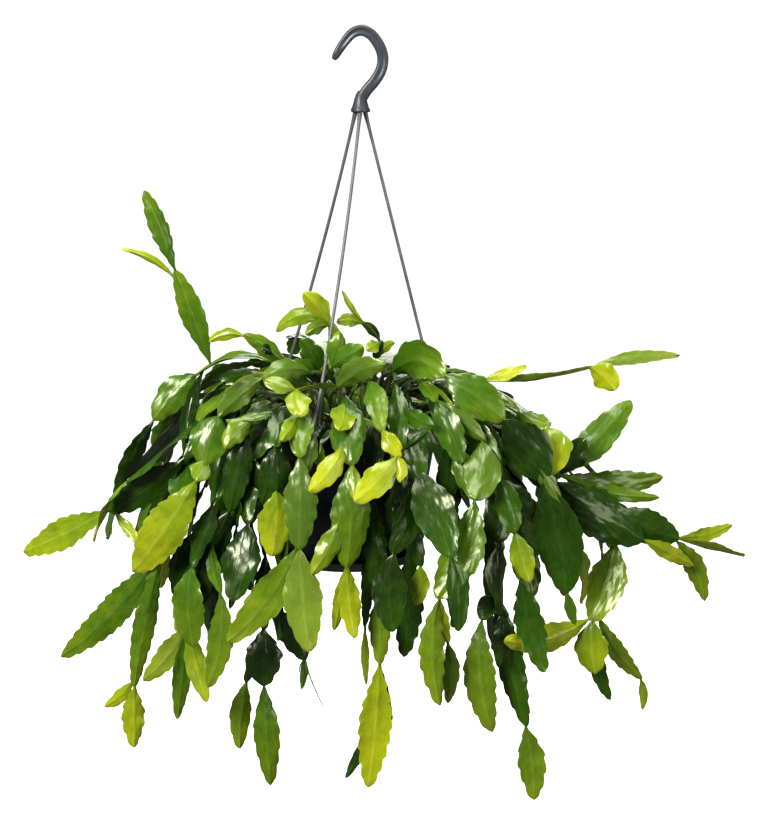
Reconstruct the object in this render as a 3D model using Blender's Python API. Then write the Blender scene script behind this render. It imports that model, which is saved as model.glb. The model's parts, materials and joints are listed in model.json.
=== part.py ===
"""A flat-stemmed rhipsalis in a hanging pot: hook, three hanger strands, pot, saucer, soil and sprays.

Metres, +Z up, +X to the right and -Y towards the viewer. The origin is the inner crown of the
hook, where it hangs on whatever holds it.
"""
import math
import random

import bmesh
import bpy
from mathutils import Quaternion, Vector
from mathutils.bvhtree import BVHTree

MM = 0.001
UP = Vector((0.0, 0.0, 1.0))
GAP = 0.3 * MM

# Where the viewer stands: the bench for the places that are given as seen from the front.
VIEW_DROP = math.radians(12.5)
VIEW_DISTANCE = 1650.0 * MM
VIEW_AIM_ACROSS = 20.8 * MM
VIEW_AIM_DOWN = 330.9 * MM

# Hook and hub
HOOK_THICKNESS = 10.0 * MM
HOOK_TIP_THICKNESS = 6.4 * MM
HOOK_DEPTH = 8.0 * MM
HOOK_LINE = [(-23.6, -20.5), (-19.0, -12.5), (-13.6, -4.8), (-7.2, 2.2), (1.0, 5.0), (8.8, 1.8), (14.8, -5.2),
             (18.8, -13.4), (19.8, -22.0), (17.6, -30.8), (12.4, -39.2), (5.6, -47.0), (0.8, -54.5)]
HOOK_SIDES = 8
HOOK_FULLNESS = 0.54
HOOK_TIP_DEPTH = 0.85
HOOK_TIP_LENGTH = 4
HUB_LINE = [(4.6, -50.0), (5.2, -55.0), (7.4, -61.5), (8.7, -64.5), (8.7, -66.2)]
HUB_SIDES = 12

# Pot: a turned shell, given as radius and depth below the top of the rim
TURN_SIDES = 26
POT_X = -12.0 * MM
RIM_Z = -342.0 * MM
RIM_RADIUS = 88.0 * MM
LIP_WIDTH = 6.5 * MM
LIP_DROP = 9.0 * MM
LIP_ROUND = 1.2 * MM
POT_HEIGHT = 132.0 * MM
POT_WALL = 2.0 * MM
BASE_RADIUS = 63.0 * MM
WALL_TOP_RADIUS = 84.0 * MM
FLOOR_THICKNESS = 2.4 * MM
INSIDE_CORNER = (5.0 * MM, 3.0 * MM)
OUTSIDE_CORNER = (4.0 * MM, 5.0 * MM)
DRAIN_COUNT = 6
DRAIN_RADIUS = 4.0 * MM
DRAIN_CIRCLE = 42.0 * MM
DRAIN_SIDES = 6
CUT_BEYOND = 2.0 * MM

# Saucer, clipped on by pegs through every second drainage hole
SAUCER_RADIUS = 70.0 * MM
SAUCER_FLOOR = 2.0 * MM
SAUCER_WALL = 1.8 * MM
SAUCER_RISE = 8.5 * MM
SAUCER_CORNER = (5.0 * MM, 4.0 * MM)
SAUCER_INSIDE = (6.4 * MM, 4.6 * MM)
PEG_RADIUS = 2.6 * MM
PEG_HEAD_RADIUS = 4.8 * MM
PEG_TIP_RADIUS = 1.6 * MM
PEG_HEAD_HEIGHT = 3.4 * MM
PEG_ROOT = 1.0 * MM

# Soil
SOIL_DROP = 13.0 * MM
SOIL_BOTTOM_GAP = 5.0 * MM
SOIL_SETTLED = 1.0 * MM
HOLE_TOP = 30.0 * MM
STEM_SIDES = 3
STEM_RADIUS = 1.9 * MM
STEM_END_RADIUS = 2.1 * MM
STEM_DEPTH = 12.0 * MM
STEM_COLLAR = 2.0 * MM
STEM_ARRIVAL = 0.35
STEM_STATIONS = (0.0, 0.5, 1.0)
STEM_RISES = (0.55, 0.75, 0.4, 0.95, 0.25, 1.2)
SHOULDER_NUDGES = ((0, 0), (0, 5), (5, 0), (-5, 0), (0, -5), (6, 9), (-9, 4), (10, -4), (-4, 14), (12, 14))
STEM_SPACING = 7.5 * MM
FOOT_SHARE = 0.8
FOOT_REACH = 66.0 * MM
FOOT_INNERMOST = 4.0 * MM
FOOT_STEP = 6.0 * MM
FOOT_STEPS = 8
FOOT_TURNS = (0, 7, -7, 14, -14, 21, -21, 30, -30, 40, -40)
HOLE_CLEARANCE = 0.45 * MM

# Strands
STRAND_RADIUS = 1.5 * MM
STRAND_START = 5.0 * MM
STRAND_SIDES = 8
# A strand: its turn at the hub, its turn at the rim, and how far its middle bows inwards.
STRANDS = {"strand_front": (-5.0, -20.5, 9.0 * MM), "strand_left": (-110.0, -125.5, 4.0 * MM),
           "strand_right": (125.0, 97.0, 0.0)}
STRAND_LENGTHS = 4
CLIP_WIDTH = 9.0 * MM
CLIP_WALL = 2.0 * MM
CLIP_INSIDE_DROP = 7.0 * MM
CLIP_LIP = 2.2 * MM
WALL_LEAN = 1.3 * MM
SUNK_IN_CLIP = 0.6

# Stem segments
SINK = 2.0 * MM
NECK_WIDTH = 2.6 * MM
NECK_THICKNESS = 1.2 * MM
TIP_THICKNESS = 2.2 * MM
BELOW_PATH = 0.35
LEAD = 0.28
SIDE_ROOM = 0.55
LOWEST_SEAT = 0.05
IN_LINE = 0.8
SEGMENT_THICKNESS = 1.5 * MM
THICKER_WITH_WIDTH = 0.04
THICKEST_AT = 0.25
ROLL_AT_NECK = 0.8
ROLL_GAIN = 0.4
NOTCH = 0.82
WIDEST_AT = 0.48
BASE_TAPER = 1.45
TIP_TAPER = 1.9
TIP_NARROWING = 0.70
CLEARANCE = 0.9 * MM
NEAR_SHARE = 0.75
NEAR_MARGIN = 30.0 * MM
TRIAL_STEP = 5.0 * MM
TRIAL_COUNT = 21
ATTEMPT_SIZES = (1.0, 0.9, 0.7)
ATTEMPT_TURNS = ((1, 0), (-1, 18), (1, -25))
SHORT_SEGMENT = 88.0 * MM
LONG_SEGMENT = 120.0 * MM
SEED = 9

# The spread in plan: how far the middle of the front stands out, and where the sides fall back.
PLAN_REACH = 1.28
PLAN_HALF_WIDTH = 335.0
PLAN_FALL = 42.0
PLAN_LEAST = 0.05

# Sprays seen from the front. Each spray: its name, the shoulder where its stem hands over to the
# first segment, and its segments. Millimetres across and down as seen, and towards the viewer.
# A segment: the one it grows from (-1 is the stem), how far along that one, its tip across, down
# and toward, its width, its roll about its own length in degrees, and its upward bow.
FRONT_SPRAYS = [
    ("spray_left_upright", (-75, 287, 12), [
        (-1, 1.0, -145, 299, 20, 22, 72, 12), (0, 0.8, -163, 206, 22, 24, 15, 4),
        (1, 1.0, -190, 136, 24, 19, 10, 4), (1, 0.9, -210, 188, 30, 8, 20, 3),
        (0, 1.0, -182, 338, 30, 31, 10, 7), (4, 1.0, -216, 405, 34, 20, 30, 4),
        (0, 0.9, -150, 377, 40, 19, 20, 3)]),
    ("spray_left_arch", (-62, 296, 46), [
        (-1, 1.0, -103, 263, 52, 18, 20, 5), (0, 1.0, -133, 269, 54, 12, 10, 5),
        (0, 0.4, -87, 277, 62, 11, 10, 2)]),
    ("spray_left_shoulder", (-43, 296, 62), [
        (-1, 1.0, -87, 302, 80, 21, 20, 5), (0, 1.0, -125, 335, 100, 22, 15, 5),
        (1, 1.0, -137, 378, 112, 36, 5, 4), (2, 0.9, -144, 392, 122, 20, 10, 1),
        (3, 1.0, -200, 471, 118, 40, 10, 5), (0, 0.8, -119, 313, 88, 14, 60, 3)]),
    ("spray_left_far", (-92, 316, 40), [
        (-1, 1.0, -155, 374, 72, 25, 10, 9), (0, 1.0, -222, 418, 84, 31, 10, 6),
        (1, 1.0, -296, 454, 88, 31, 20, -2), (1, 0.95, -192, 450, 96, 11, 0, 1)]),
    ("spray_left_long", (-78, 322, 70), [
        (-1, 1.0, -99, 348, 92, 18, 10, 3), (0, 1.0, -115, 419, 106, 25, 5, 4),
        (1, 1.0, -146, 434, 98, 18, 10, 3), (1, 1.0, -132, 449, 114, 14, 20, 2),
        (3, 1.0, -152, 520, 110, 29, 5, 4), (4, 0.75, -162, 524, 118, 13, 10, 1),
        (4, 1.0, -191, 567, 106, 23, 10, 3), (4, 1.0, -161, 601, 112, 19, 15, 3),
        (4, 1.0, -135, 586, 120, 20, 10, 3), (3, 1.0, -122, 490, 122, 13, 10, 2),
        (9, 1.0, -134, 573, 126, 24, 5, 3), (2, 1.0, -158, 500, 94, 26, 10, 3),
        (1, 1.0, -140, 490, 92, 24, 10, 3)]),
    ("spray_left_low", (-86, 322, 22), [
        (-1, 1.0, -137, 369, 46, 22, 20, 8), (0, 1.0, -176, 457, 62, 25, 15, 6),
        (1, 1.0, -263, 546, 62, 31, 10, 6), (1, 1.0, -199, 573, 78, 22, 5, -3),
        (3, 0.95, -225, 590, 80, 14, 10, 2), (3, 1.0, -199, 626, 82, 23, 5, 2)]),
    ("spray_left_inner", (-66, 336, 60), [
        (-1, 1.0, -87, 382, 76, 18, 20, 4), (0, 1.0, -96, 430, 82, 18, 10, 3),
        (1, 1.0, -115, 504, 84, 14, 15, 3), (1, 1.0, -97, 488, 92, 19, 10, 3)]),
    ("spray_front_left", (-62, 325, 84), [
        (-1, 1.0, -75, 362, 104, 22, 5, 3), (0, 1.0, -73, 401, 110, 27, 5, 2),
        (0, 1.0, -86, 412, 100, 18, 10, 2), (1, 1.0, -78, 458, 114, 33, 5, 3),
        (0, 0.3, -118, 339, 100, 14, 60, 4), (4, 0.5, -119, 363, 112, 21, 5, 3)]),
    ("spray_front_mid", (-50, 326, 90), [
        (-1, 1.0, -53, 371, 112, 25, 5, 3), (0, 0.2, -69, 356, 116, 16, 5, 1),
        (0, 1.0, -54, 452, 120, 31, 5, 3), (2, 1.0, -117, 533, 124, 32, 5, 5),
        (2, 1.0, -45, 542, 130, 35, 5, 4)]),
    ("spray_under_left", (-78, 334, 50), [
        (-1, 1.0, -86, 400, 62, 15, 20, 4), (0, 1.0, -84, 458, 68, 13, 10, 3),
        (1, 1.0, -68, 508, 62, 9, 10, 2), (2, 1.0, -48, 549, 62, 27, 5, 3),
        (1, 1.0, -85, 523, 74, 20, 5, 3), (4, 1.0, -101, 569, 78, 16, 15, 2),
        (4, 1.0, -85, 572, 84, 35, 5, 2), (5, 1.0, -106, 627, 80, 21, 10, 3),
        (6, 1.0, -79, 659, 88, 25, 5, 4), (3, 0.95, -52, 575, 66, 8, 5, 1)]),
    ("spray_front_hang", (-14, 315, 84), [
        (-1, 1.0, -7, 378, 108, 31, 5, 4), (0, 1.0, -12, 468, 114, 35, 5, 5),
        (0, 1.0, -3, 411, 122, 13, 5, 1), (1, 1.0, -23, 523, 112, 14, 10, 3),
        (1, 1.0, -5, 530, 120, 21, 5, 3), (1, 0.55, -43, 474, 122, 20, 5, 3),
        (0, 0.75, -45, 401, 118, 21, 5, 2), (0, 0.15, -19, 347, 104, 24, 5, 2)]),
    ("spray_front_cross", (7, 303, 86), [
        (-1, 1.0, 19, 348, 110, 21, 5, 4), (0, 1.0, 36, 370, 118, 17, 5, 1),
        (1, 1.0, -5, 410, 136, 26, 5, 3), (1, 1.0, 35, 393, 124, 12, 5, 1),
        (1, 0.9, 60, 347, 124, 7, 10, 3)]),
    ("spray_front_olive", (31, 304, 84), [
        (-1, 1.0, 33, 373, 104, 21, 15, 4), (0, 1.0, 54, 467, 114, 25, 5, 5),
        (1, 1.0, 49, 501, 116, 18, 10, 1), (0, 0.4, 65, 343, 108, 17, 5, 2)]),
    ("spray_front_dark", (43, 312, 60), [
        (-1, 1.0, 38, 386, 82, 21, 10, 5), (0, 1.0, 24, 448, 88, 22, 10, 3),
        (0, 1.0, 44, 450, 92, 25, 10, 3), (1, 1.0, 28, 514, 86, 24, 10, 3),
        (2, 1.0, 38, 546, 88, 28, 10, 4)]),
    ("spray_front_tail", (14, 317, 72), [
        (-1, 1.0, 11, 408, 98, 20, 10, 6), (0, 1.0, 16, 492, 102, 23, 5, 4),
        (1, 1.0, 17, 553, 106, 21, 10, 3), (2, 1.0, 7, 661, 110, 31, 5, 5),
        (2, 1.0, 28, 602, 100, 9, 10, 2), (0, 1.0, 4, 521, 94, 14, 10, 4), (5, 1.0, 5, 571, 92, 8, 10, 1),
        (3, 0.6, -13, 653, 110, 10, 10, 1)]),
    ("spray_right_front", (57, 309, 76), [
        (-1, 1.0, 83, 360, 98, 22, 10, 5), (0, 1.0, 103, 409, 118, 23, 5, 3),
        (1, 1.0, 67, 495, 130, 38, 10, 5), (2, 1.0, 70, 589, 134, 24, 5, 5),
        (2, 1.0, 78, 534, 124, 16, 5, 2), (4, 1.0, 77, 587, 120, 17, 10, 2),
        (0, 0.85, 68, 425, 88, 21, 10, 3)]),
    ("spray_right_olive", (50, 303, 70), [
        (-1, 1.0, 67, 322, 88, 15, 10, 3), (0, 1.0, 89, 376, 110, 26, 5, 4),
        (0, 1.0, 110, 356, 108, 19, 10, 5), (2, 1.0, 101, 408, 126, 34, 5, 2),
        (0, 0.2, 81, 324, 102, 16, 65, 3)]),
    ("spray_right_arch", (28, 296, 58), [
        (-1, 1.0, 74, 300, 82, 37, 10, 18), (0, 1.0, 127, 338, 98, 37, 10, 9),
        (1, 1.0, 162, 391, 110, 44, 5, 3), (2, 0.75, 176, 412, 116, 15, 5, 2),
        (2, 1.0, 181, 490, 120, 44, 5, 2), (4, 1.0, 189, 518, 120, 11, 5, 1)]),
    ("spray_right_flat", (70, 306, 20), [
        (-1, 1.0, 108, 304, 22, 15, 40, 4), (0, 1.0, 146, 290, 26, 14, 30, 3),
        (0, 1.0, 203, 291, 12, 18, 70, 5), (2, 1.0, 281, 281, 4, 14, 20, 4),
        (2, 1.0, 224, 312, 20, 27, 5, 2)]),
    ("spray_right_fold", (97, 320, 42), [
        (-1, 1.0, 140, 332, 62, 18, 10, 6), (0, 1.0, 167, 343, 86, 23, 30, -2),
        (1, 1.0, 165, 387, 108, 39, 5, 8)]),
    ("spray_right_star", (105, 328, 18), [
        (-1, 1.0, 140, 354, 40, 21, 10, 5), (0, 1.0, 176, 389, 60, 23, 10, 4),
        (1, 1.0, 198, 355, 62, 26, 5, 3), (1, 1.0, 238, 321, 50, 31, 10, -5),
        (1, 1.0, 266, 388, 62, 25, 10, 4), (1, 1.0, 263, 406, 78, 15, 5, 3)]),
    ("spray_right_far", (116, 342, 50), [
        (-1, 1.0, 172, 394, 86, 28, 10, 6), (0, 1.0, 249, 444, 104, 46, 10, 7),
        (1, 0.55, 280, 443, 96, 34, 10, 5), (2, 1.0, 327, 430, 96, 14, 10, 2),
        (2, 1.0, 338, 457, 92, 18, 68, 2), (1, 1.0, 293, 466, 108, 16, 10, 2),
        (2, 1.0, 303, 497, 98, 21, 5, 3)]),
    ("spray_right_skirt", (122, 356, 30), [
        (-1, 1.0, 176, 408, 66, 23, 10, 6), (0, 1.0, 227, 444, 88, 25, 10, 4),
        (1, 1.0, 203, 515, 104, 37, 10, 4), (2, 1.0, 127, 532, 120, 27, 10, 0),
        (2, 1.0, 207, 561, 112, 32, 5, 2), (2, 0.9, 248, 565, 100, 18, 10, 3),
        (5, 1.0, 248, 593, 100, 9, 5, 1), (2, 1.0, 220, 584, 98, 17, 10, 3)]),
    ("spray_right_mid", (82, 332, 80), [
        (-1, 1.0, 123, 389, 112, 23, 10, 5), (0, 1.0, 136, 438, 120, 25, 10, 2),
        (1, 1.0, 149, 481, 128, 22, 5, 2), (1, 1.0, 140, 479, 116, 15, 10, 2),
        (3, 1.0, 162, 560, 122, 28, 5, 4), (0, 1.0, 162, 428, 98, 22, 10, 3)]),
    ("spray_right_tail", (79, 341, 50), [
        (-1, 1.0, 112, 404, 84, 21, 10, 5), (0, 1.0, 120, 489, 98, 21, 10, 4),
        (1, 1.0, 105, 513, 106, 21, 10, 1), (2, 1.0, 116, 612, 112, 30, 5, 5),
        (1, 1.0, 146, 608, 104, 27, 10, 5), (4, 1.0, 153, 672, 108, 27, 5, 3)]),
    ("spray_crown_left", (-20, 273, 18), [
        (-1, 1.0, -27, 252, 20, 12, 10, 1), (0, 1.0, -50, 226, 25, 21, 10, 2),
        (0, 1.0, -74, 260, 30, 18, 20, 17), (0, 0.9, -48, 263, 34, 14, 10, 2)]),
    ("spray_crown_top", (13, 286, 0), [
        (-1, 1.0, 19, 268, 5, 11, 10, 1), (0, 1.0, 1, 252, 8, 10, 10, 1), (1, 1.0, -21, 252, 10, 14, 10, 3),
        (1, 1.0, -16, 224, 8, 6, 10, 2), (0, 0.9, 6, 277, 16, 14, 10, 1), (0, 0.3, 30, 270, 8, 10, 10, 2)]),
    ("spray_crown_front", (-34, 307, 40), [
        (-1, 1.0, -25, 291, 50, 15, 10, 2), (0, 1.0, 3, 274, 56, 22, 10, 3),
        (0, 1.0, -18, 260, 44, 18, 10, 2), (0, 0.4, -53, 267, 40, 22, 10, 3),
        (0, 0.2, -63, 289, 55, 18, 20, 3)]),
    ("spray_crown_cross", (-22, 312, 64), [
        (-1, 1.0, 22, 289, 74, 25, 10, 5), (0, 0.1, -57, 312, 80, 14, 68, 3),
        (1, 1.0, -85, 303, 82, 16, 20, 3), (1, 1.0, -50, 335, 98, 24, 5, 3)]),
]

# Sprays at the sides and back, set out by rule: how many, and the arc they share, measured from
# the viewer's side of the pot and growing towards the right. Every second one arches out from
# inside the pot, the others hang over the rim, low ones cover the soil, and at the front inner
# ones hang between the listed sprays and the pot.
BACK_COUNT = 12
BACK_FIRST = 64.0
BACK_LAST = 296.0
LOW_COUNT = 6
LOW_FIRST = 66.0
LOW_LAST = 286.0
INNER_PLACES = (-64.0, -50.0, -36.0, 28.0, 44.0, 60.0)
STRAND_ROOM = 9.0
ARCHING = {"radius": 60.0, "height": 26.0, "aim": 20.0, "pitches": (8.0, -18.0, -46.0, -66.0),
           "children": (1, 2, 1, 1), "fork": 46.0, "stations": 5}
HANGING = {"radius": 94.0, "height": 14.0, "aim": -10.0, "pitches": (-5.0, -52.0, -74.0, -82.0),
           "children": (1, 2, 1, 1), "fork": 46.0, "stations": 5}
LOW = {"radius": 36.0, "height": 26.0, "aim": 25.0, "pitches": (22.0, -12.0), "children": (1, 2),
       "fork": 50.0, "stations": 4}
INNER = {"radius": 91.0, "height": 16.0, "aim": -12.0, "pitches": (-32.0, -62.0, -80.0, -84.0),
         "children": (1, 3, 1, 1), "fork": 58.0, "stations": 4}
FORK_CARRIED = 0.6
FORK_SHARES = (0.8, 1.0)
AIM_REACH = 60.0 * MM
BACK_TRIALS = 26
LOOSENED_OVER = 12
HEADING_DRIFT = 16.0
PITCH_DRIFT = 12.0
PITCH_LIMITS = (-88.0, 70.0)
ROLL_DRIFT = 38.0
FACE_UP = 0.9
FACE_TOO_NEAR_RUN = 0.92
STEEP_FACE_OUT = 0.3
SHORTENED_AFTER = 14
SHORTENING = 0.75
UPWARD_BOW = 0.09
OUTWARD_BOW = 0.04
SEGMENT_LENGTHS = (60.0 * MM, 86.0 * MM)
SEGMENT_BROADNESS = (0.39, 0.52)

# The outline that those keep within, as seen from the front: across and down in millimetres.
TOP_LINE = [(-296, 452), (-235, 425), (-200, 385), (-176, 340), (-141, 305), (-106, 290), (-70, 276),
            (-53, 262), (-14, 252), (35, 282), (61, 292), (88, 300), (105, 306), (123, 320), (150, 342),
            (176, 358), (211, 372), (246, 390), (338, 435)]
HEM_LINE = [(-296, 455), (-264, 460), (-225, 445), (-203, 450), (-170, 520), (-141, 545), (-110, 530),
            (-80, 540), (-53, 514), (-36, 474), (-18, 496), (17, 549), (44, 532), (70, 532), (123, 560),
            (145, 545), (165, 520), (211, 520), (255, 490), (299, 465), (338, 444)]

HOLDER_COLOURS = {
    "hook": (0.047, 0.058, 0.072),
    "strand": (0.10, 0.10, 0.115),
    "pot": (0.006, 0.007, 0.014),
    "saucer": (0.012, 0.012, 0.018),
    "soil": (0.035, 0.022, 0.014),
}
SPRAY_COLOURS = ((0.06, 0.17, 0.015), (0.10, 0.24, 0.02), (0.18, 0.32, 0.03))


def clear_scene():
    """Remove whatever the file already holds."""
    for thing in list(bpy.data.objects):
        bpy.data.objects.remove(thing)


def plastic(name, colour, roughness):
    """A plain material with the sub-part's colour."""
    material = bpy.data.materials.new(name)
    material.use_nodes = True
    shader = material.node_tree.nodes["Principled BSDF"]
    shader.inputs["Base Color"].default_value = (*colour, 1.0)
    shader.inputs["Roughness"].default_value = roughness
    return material


def add_object(name, mesh, material=None):
    """Link a mesh into the scene as one object."""
    thing = bpy.data.objects.new(name, mesh)
    bpy.context.scene.collection.objects.link(thing)
    if material:
        mesh.materials.append(material)
    return thing


def round_ring(centre, first, second, radius, sides):
    """Points on a circle in the plane of two directions."""
    ring = []
    for n in range(sides):
        angle = 2.0 * math.pi * (n + 0.5) / sides
        ring.append(centre + (first * math.cos(angle) + second * math.sin(angle)) * radius)
    return ring


def mesh_from_rings(name, rings, split=False):
    """A closed skin over rings of equal count, with a flat cap at each end.

    Where the rings are turned against each other, split cuts each four-sided face in two,
    with the cuts running alike on both sides of a flat section.
    """
    shape = bmesh.new()
    rows = [[shape.verts.new(point) for point in ring] for ring in rings]
    count = len(rows[0])
    for lower, upper in zip(rows, rows[1:]):
        for i in range(count):
            j = (i + 1) % count
            if not split:
                shape.faces.new((lower[i], lower[j], upper[j], upper[i]))
            elif j:
                shape.faces.new((lower[i], lower[j], upper[j]))
                shape.faces.new((lower[i], upper[j], upper[i]))
            else:
                shape.faces.new((lower[j], upper[i], lower[i]))
                shape.faces.new((lower[j], upper[j], upper[i]))
    shape.faces.new(list(reversed(rows[0])))
    shape.faces.new(rows[-1])
    bmesh.ops.recalc_face_normals(shape, faces=shape.faces)
    mesh = bpy.data.meshes.new(name)
    shape.to_mesh(mesh)
    shape.free()
    return mesh


def turned_mesh(name, outline, sides, centre):
    """An outline of (radius, height) pairs turned about the upright axis through centre."""
    rings = []
    for radius, height in outline:
        rings.append(round_ring(centre + UP * height, Vector((1, 0, 0)), Vector((0, 1, 0)), radius, sides))
    return mesh_from_rings(name, rings)


def is_closed(mesh):
    """Whether every edge of a mesh has a face on each side, and the mesh is in one piece."""
    shape = bmesh.new()
    shape.from_mesh(mesh)
    closed = bool(shape.faces) and all(len(edge.link_faces) == 2 for edge in shape.edges)
    reached = set()
    ahead = [shape.verts[:][0]] if closed else []
    while ahead:
        corner = ahead.pop()
        if corner not in reached:
            reached.add(corner)
            ahead += [edge.other_vert(corner) for edge in corner.link_edges]
    closed = closed and len(reached) == len(shape.verts)
    shape.free()
    return closed


def combine(name, meshes, operation="UNION"):
    """Join all but the first mesh to it, or cut them from it, by one Boolean on a collection."""
    body = add_object(name, meshes[0])
    if len(meshes) == 1:
        return body
    others = bpy.data.collections.new(name + "_pieces")
    bpy.context.scene.collection.children.link(others)
    for mesh in meshes[1:]:
        piece = bpy.data.objects.new(mesh.name, mesh)
        piece.hide_render = True
        piece.display_type = "WIRE"
        others.objects.link(piece)
    boolean = body.modifiers.new("join", "BOOLEAN")
    boolean.operation = operation
    boolean.operand_type = "COLLECTION"
    boolean.collection = others
    for solver in ("EXACT", "MANIFOLD"):
        boolean.solver = solver
        bpy.context.view_layer.update()
        evaluated = body.evaluated_get(bpy.context.evaluated_depsgraph_get())
        result = bpy.data.meshes.new_from_object(evaluated)
        if is_closed(result):
            break
    result.name = name
    body.modifiers.clear()
    body.data = result
    for piece in list(others.objects):
        bpy.data.objects.remove(piece)
    bpy.data.collections.remove(others)
    return body


def finish_part(body, material, crease):
    """Give the part its material and shade its round faces smooth."""
    body.data.materials.clear()
    body.data.materials.append(material)
    body.data.shade_smooth()
    body.data.set_sharp_from_angle(angle=math.radians(crease))
    return body


def tree_of(mesh):
    """A search tree over a mesh, for finding what would touch it."""
    shape = bmesh.new()
    shape.from_mesh(mesh)
    tree = BVHTree.FromBMesh(shape)
    shape.free()
    return tree


# The front view

VIEW_AHEAD = Vector((0.0, math.cos(VIEW_DROP), -math.sin(VIEW_DROP)))
VIEW_RIGHT = Vector((1.0, 0.0, 0.0))
VIEW_RISE = Vector((0.0, math.sin(VIEW_DROP), math.cos(VIEW_DROP)))
VIEW_POINT = VIEW_RIGHT * VIEW_AIM_ACROSS - VIEW_RISE * VIEW_AIM_DOWN - VIEW_AHEAD * VIEW_DISTANCE


def seen_at(across, down, toward):
    """The point that shows at these distances from the hook, and lies this far towards the viewer."""
    target = VIEW_RIGHT * across - VIEW_RISE * down
    reach = (-toward - VIEW_POINT.y) / (target.y - VIEW_POINT.y)
    return VIEW_POINT + (target - VIEW_POINT) * reach


def as_seen(point):
    """How far across and down from the hook a point shows."""
    ray = point - VIEW_POINT
    ray *= VIEW_DISTANCE / ray.dot(VIEW_AHEAD)
    return VIEW_AIM_ACROSS + ray.dot(VIEW_RIGHT), VIEW_AIM_DOWN - ray.dot(VIEW_RISE)


def line_height(line, across):
    """Read a hand-drawn line of (across, down) points at one place."""
    if across <= line[0][0]:
        return line[0][1]
    for (x0, y0), (x1, y1) in zip(line, line[1:]):
        if across <= x1:
            return y0 + (y1 - y0) * (across - x0) / (x1 - x0)
    return line[-1][1]


# Hook, strands, pot, saucer and soil

POT_CENTRE = Vector((POT_X, 0.0, RIM_Z))


def spoke_from_viewer(degrees):
    """A level direction, turned from the viewer's side towards the right."""
    angle = math.radians(degrees)
    return Vector((math.sin(angle), -math.cos(angle), 0.0))


def make_hook():
    """The hook: a bent bar of soft-cornered section that runs into a flared hub."""
    rings = []
    line = [Vector((x, 0.0, z)) * MM for x, z in HOOK_LINE]
    last = len(line) - 1
    for i, point in enumerate(line):
        along = (line[min(i + 1, last)] - line[max(i - 1, 0)]).normalized()
        outward = along.cross(Vector((0.0, 1.0, 0.0)))
        grow = min(1.0, i / HOOK_TIP_LENGTH)
        thick = HOOK_TIP_THICKNESS + (HOOK_THICKNESS - HOOK_TIP_THICKNESS) * grow
        deep = HOOK_DEPTH * (HOOK_TIP_DEPTH + (1 - HOOK_TIP_DEPTH) * grow)
        ring = []
        for n in range(HOOK_SIDES):
            angle = 2.0 * math.pi * (n + 0.5) / HOOK_SIDES
            side = outward * math.cos(angle) * thick + Vector((0, 1, 0)) * math.sin(angle) * deep
            ring.append(point + side * HOOK_FULLNESS)
        rings.append(ring)
    bar = mesh_from_rings("hook_bar", rings)
    hub_line = [(r * MM, z * MM) for r, z in HUB_LINE]
    hub = turned_mesh("hook_hub", hub_line, HUB_SIDES, Vector((0.0, 0.0, 0.0)))
    hook = combine("hook", [bar, hub])
    return finish_part(hook, plastic("hook plastic", HOLDER_COLOURS["hook"], 0.42), 45)


def make_strand(name, hub_turn, rim_turn, bow):
    """One hanger strand: a rod from the hub to a clip that grips the pot's lip."""
    spoke = spoke_from_viewer(rim_turn)
    side = UP.cross(spoke)
    start = spoke_from_viewer(hub_turn) * STRAND_START + UP * (HUB_LINE[-1][1] * MM - GAP)
    end = POT_CENTRE + spoke * (RIM_RADIUS - LIP_WIDTH / 2) + UP * (GAP + CLIP_WALL * SUNK_IN_CLIP)
    rings = []
    for step in range(STRAND_LENGTHS + 1):
        s = step / STRAND_LENGTHS
        centre = start.lerp(end, s) - spoke * bow * 4 * s * (1 - s)
        ring = []
        for n in range(STRAND_SIDES):
            angle = 2.0 * math.pi * n / STRAND_SIDES
            ring.append(centre + (spoke * math.cos(angle) + side * math.sin(angle)) * STRAND_RADIUS)
        rings.append(ring)
    bar = mesh_from_rings(name + "_bar", rings)
    inner = RIM_RADIUS - LIP_WIDTH - WALL_LEAN - GAP
    outer = RIM_RADIUS + GAP
    drop = -LIP_DROP - GAP
    top = GAP + CLIP_WALL
    hooked = [(inner - CLIP_WALL, -CLIP_INSIDE_DROP), (inner - CLIP_WALL, top), (outer + CLIP_WALL, top),
              (outer + CLIP_WALL, drop - CLIP_WALL), (outer - CLIP_LIP, drop - CLIP_WALL),
              (outer - CLIP_LIP, drop), (outer, drop), (outer, GAP), (inner, GAP),
              (inner, -CLIP_INSIDE_DROP)]
    shape = bmesh.new()
    faces = []
    for shift in (-CLIP_WIDTH / 2, CLIP_WIDTH / 2):
        corners = [shape.verts.new(POT_CENTRE + spoke * r + UP * z + side * shift) for r, z in hooked]
        faces.append(corners)
    near, far = faces
    shape.faces.new(near)
    shape.faces.new(list(reversed(far)))
    for i in range(len(hooked)):
        j = (i + 1) % len(hooked)
        shape.faces.new((near[i], far[i], far[j], near[j]))
    bmesh.ops.recalc_face_normals(shape, faces=shape.faces)
    clip = bpy.data.meshes.new(name + "_clip")
    shape.to_mesh(clip)
    shape.free()
    strand = combine(name, [clip, bar])
    return finish_part(strand, plastic(name + " plastic", HOLDER_COLOURS["strand"], 0.4), 45)


def wall_radius(depth):
    """The pot's outer radius this far below its rim."""
    return WALL_TOP_RADIUS + (BASE_RADIUS - WALL_TOP_RADIUS) * depth / POT_HEIGHT


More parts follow.
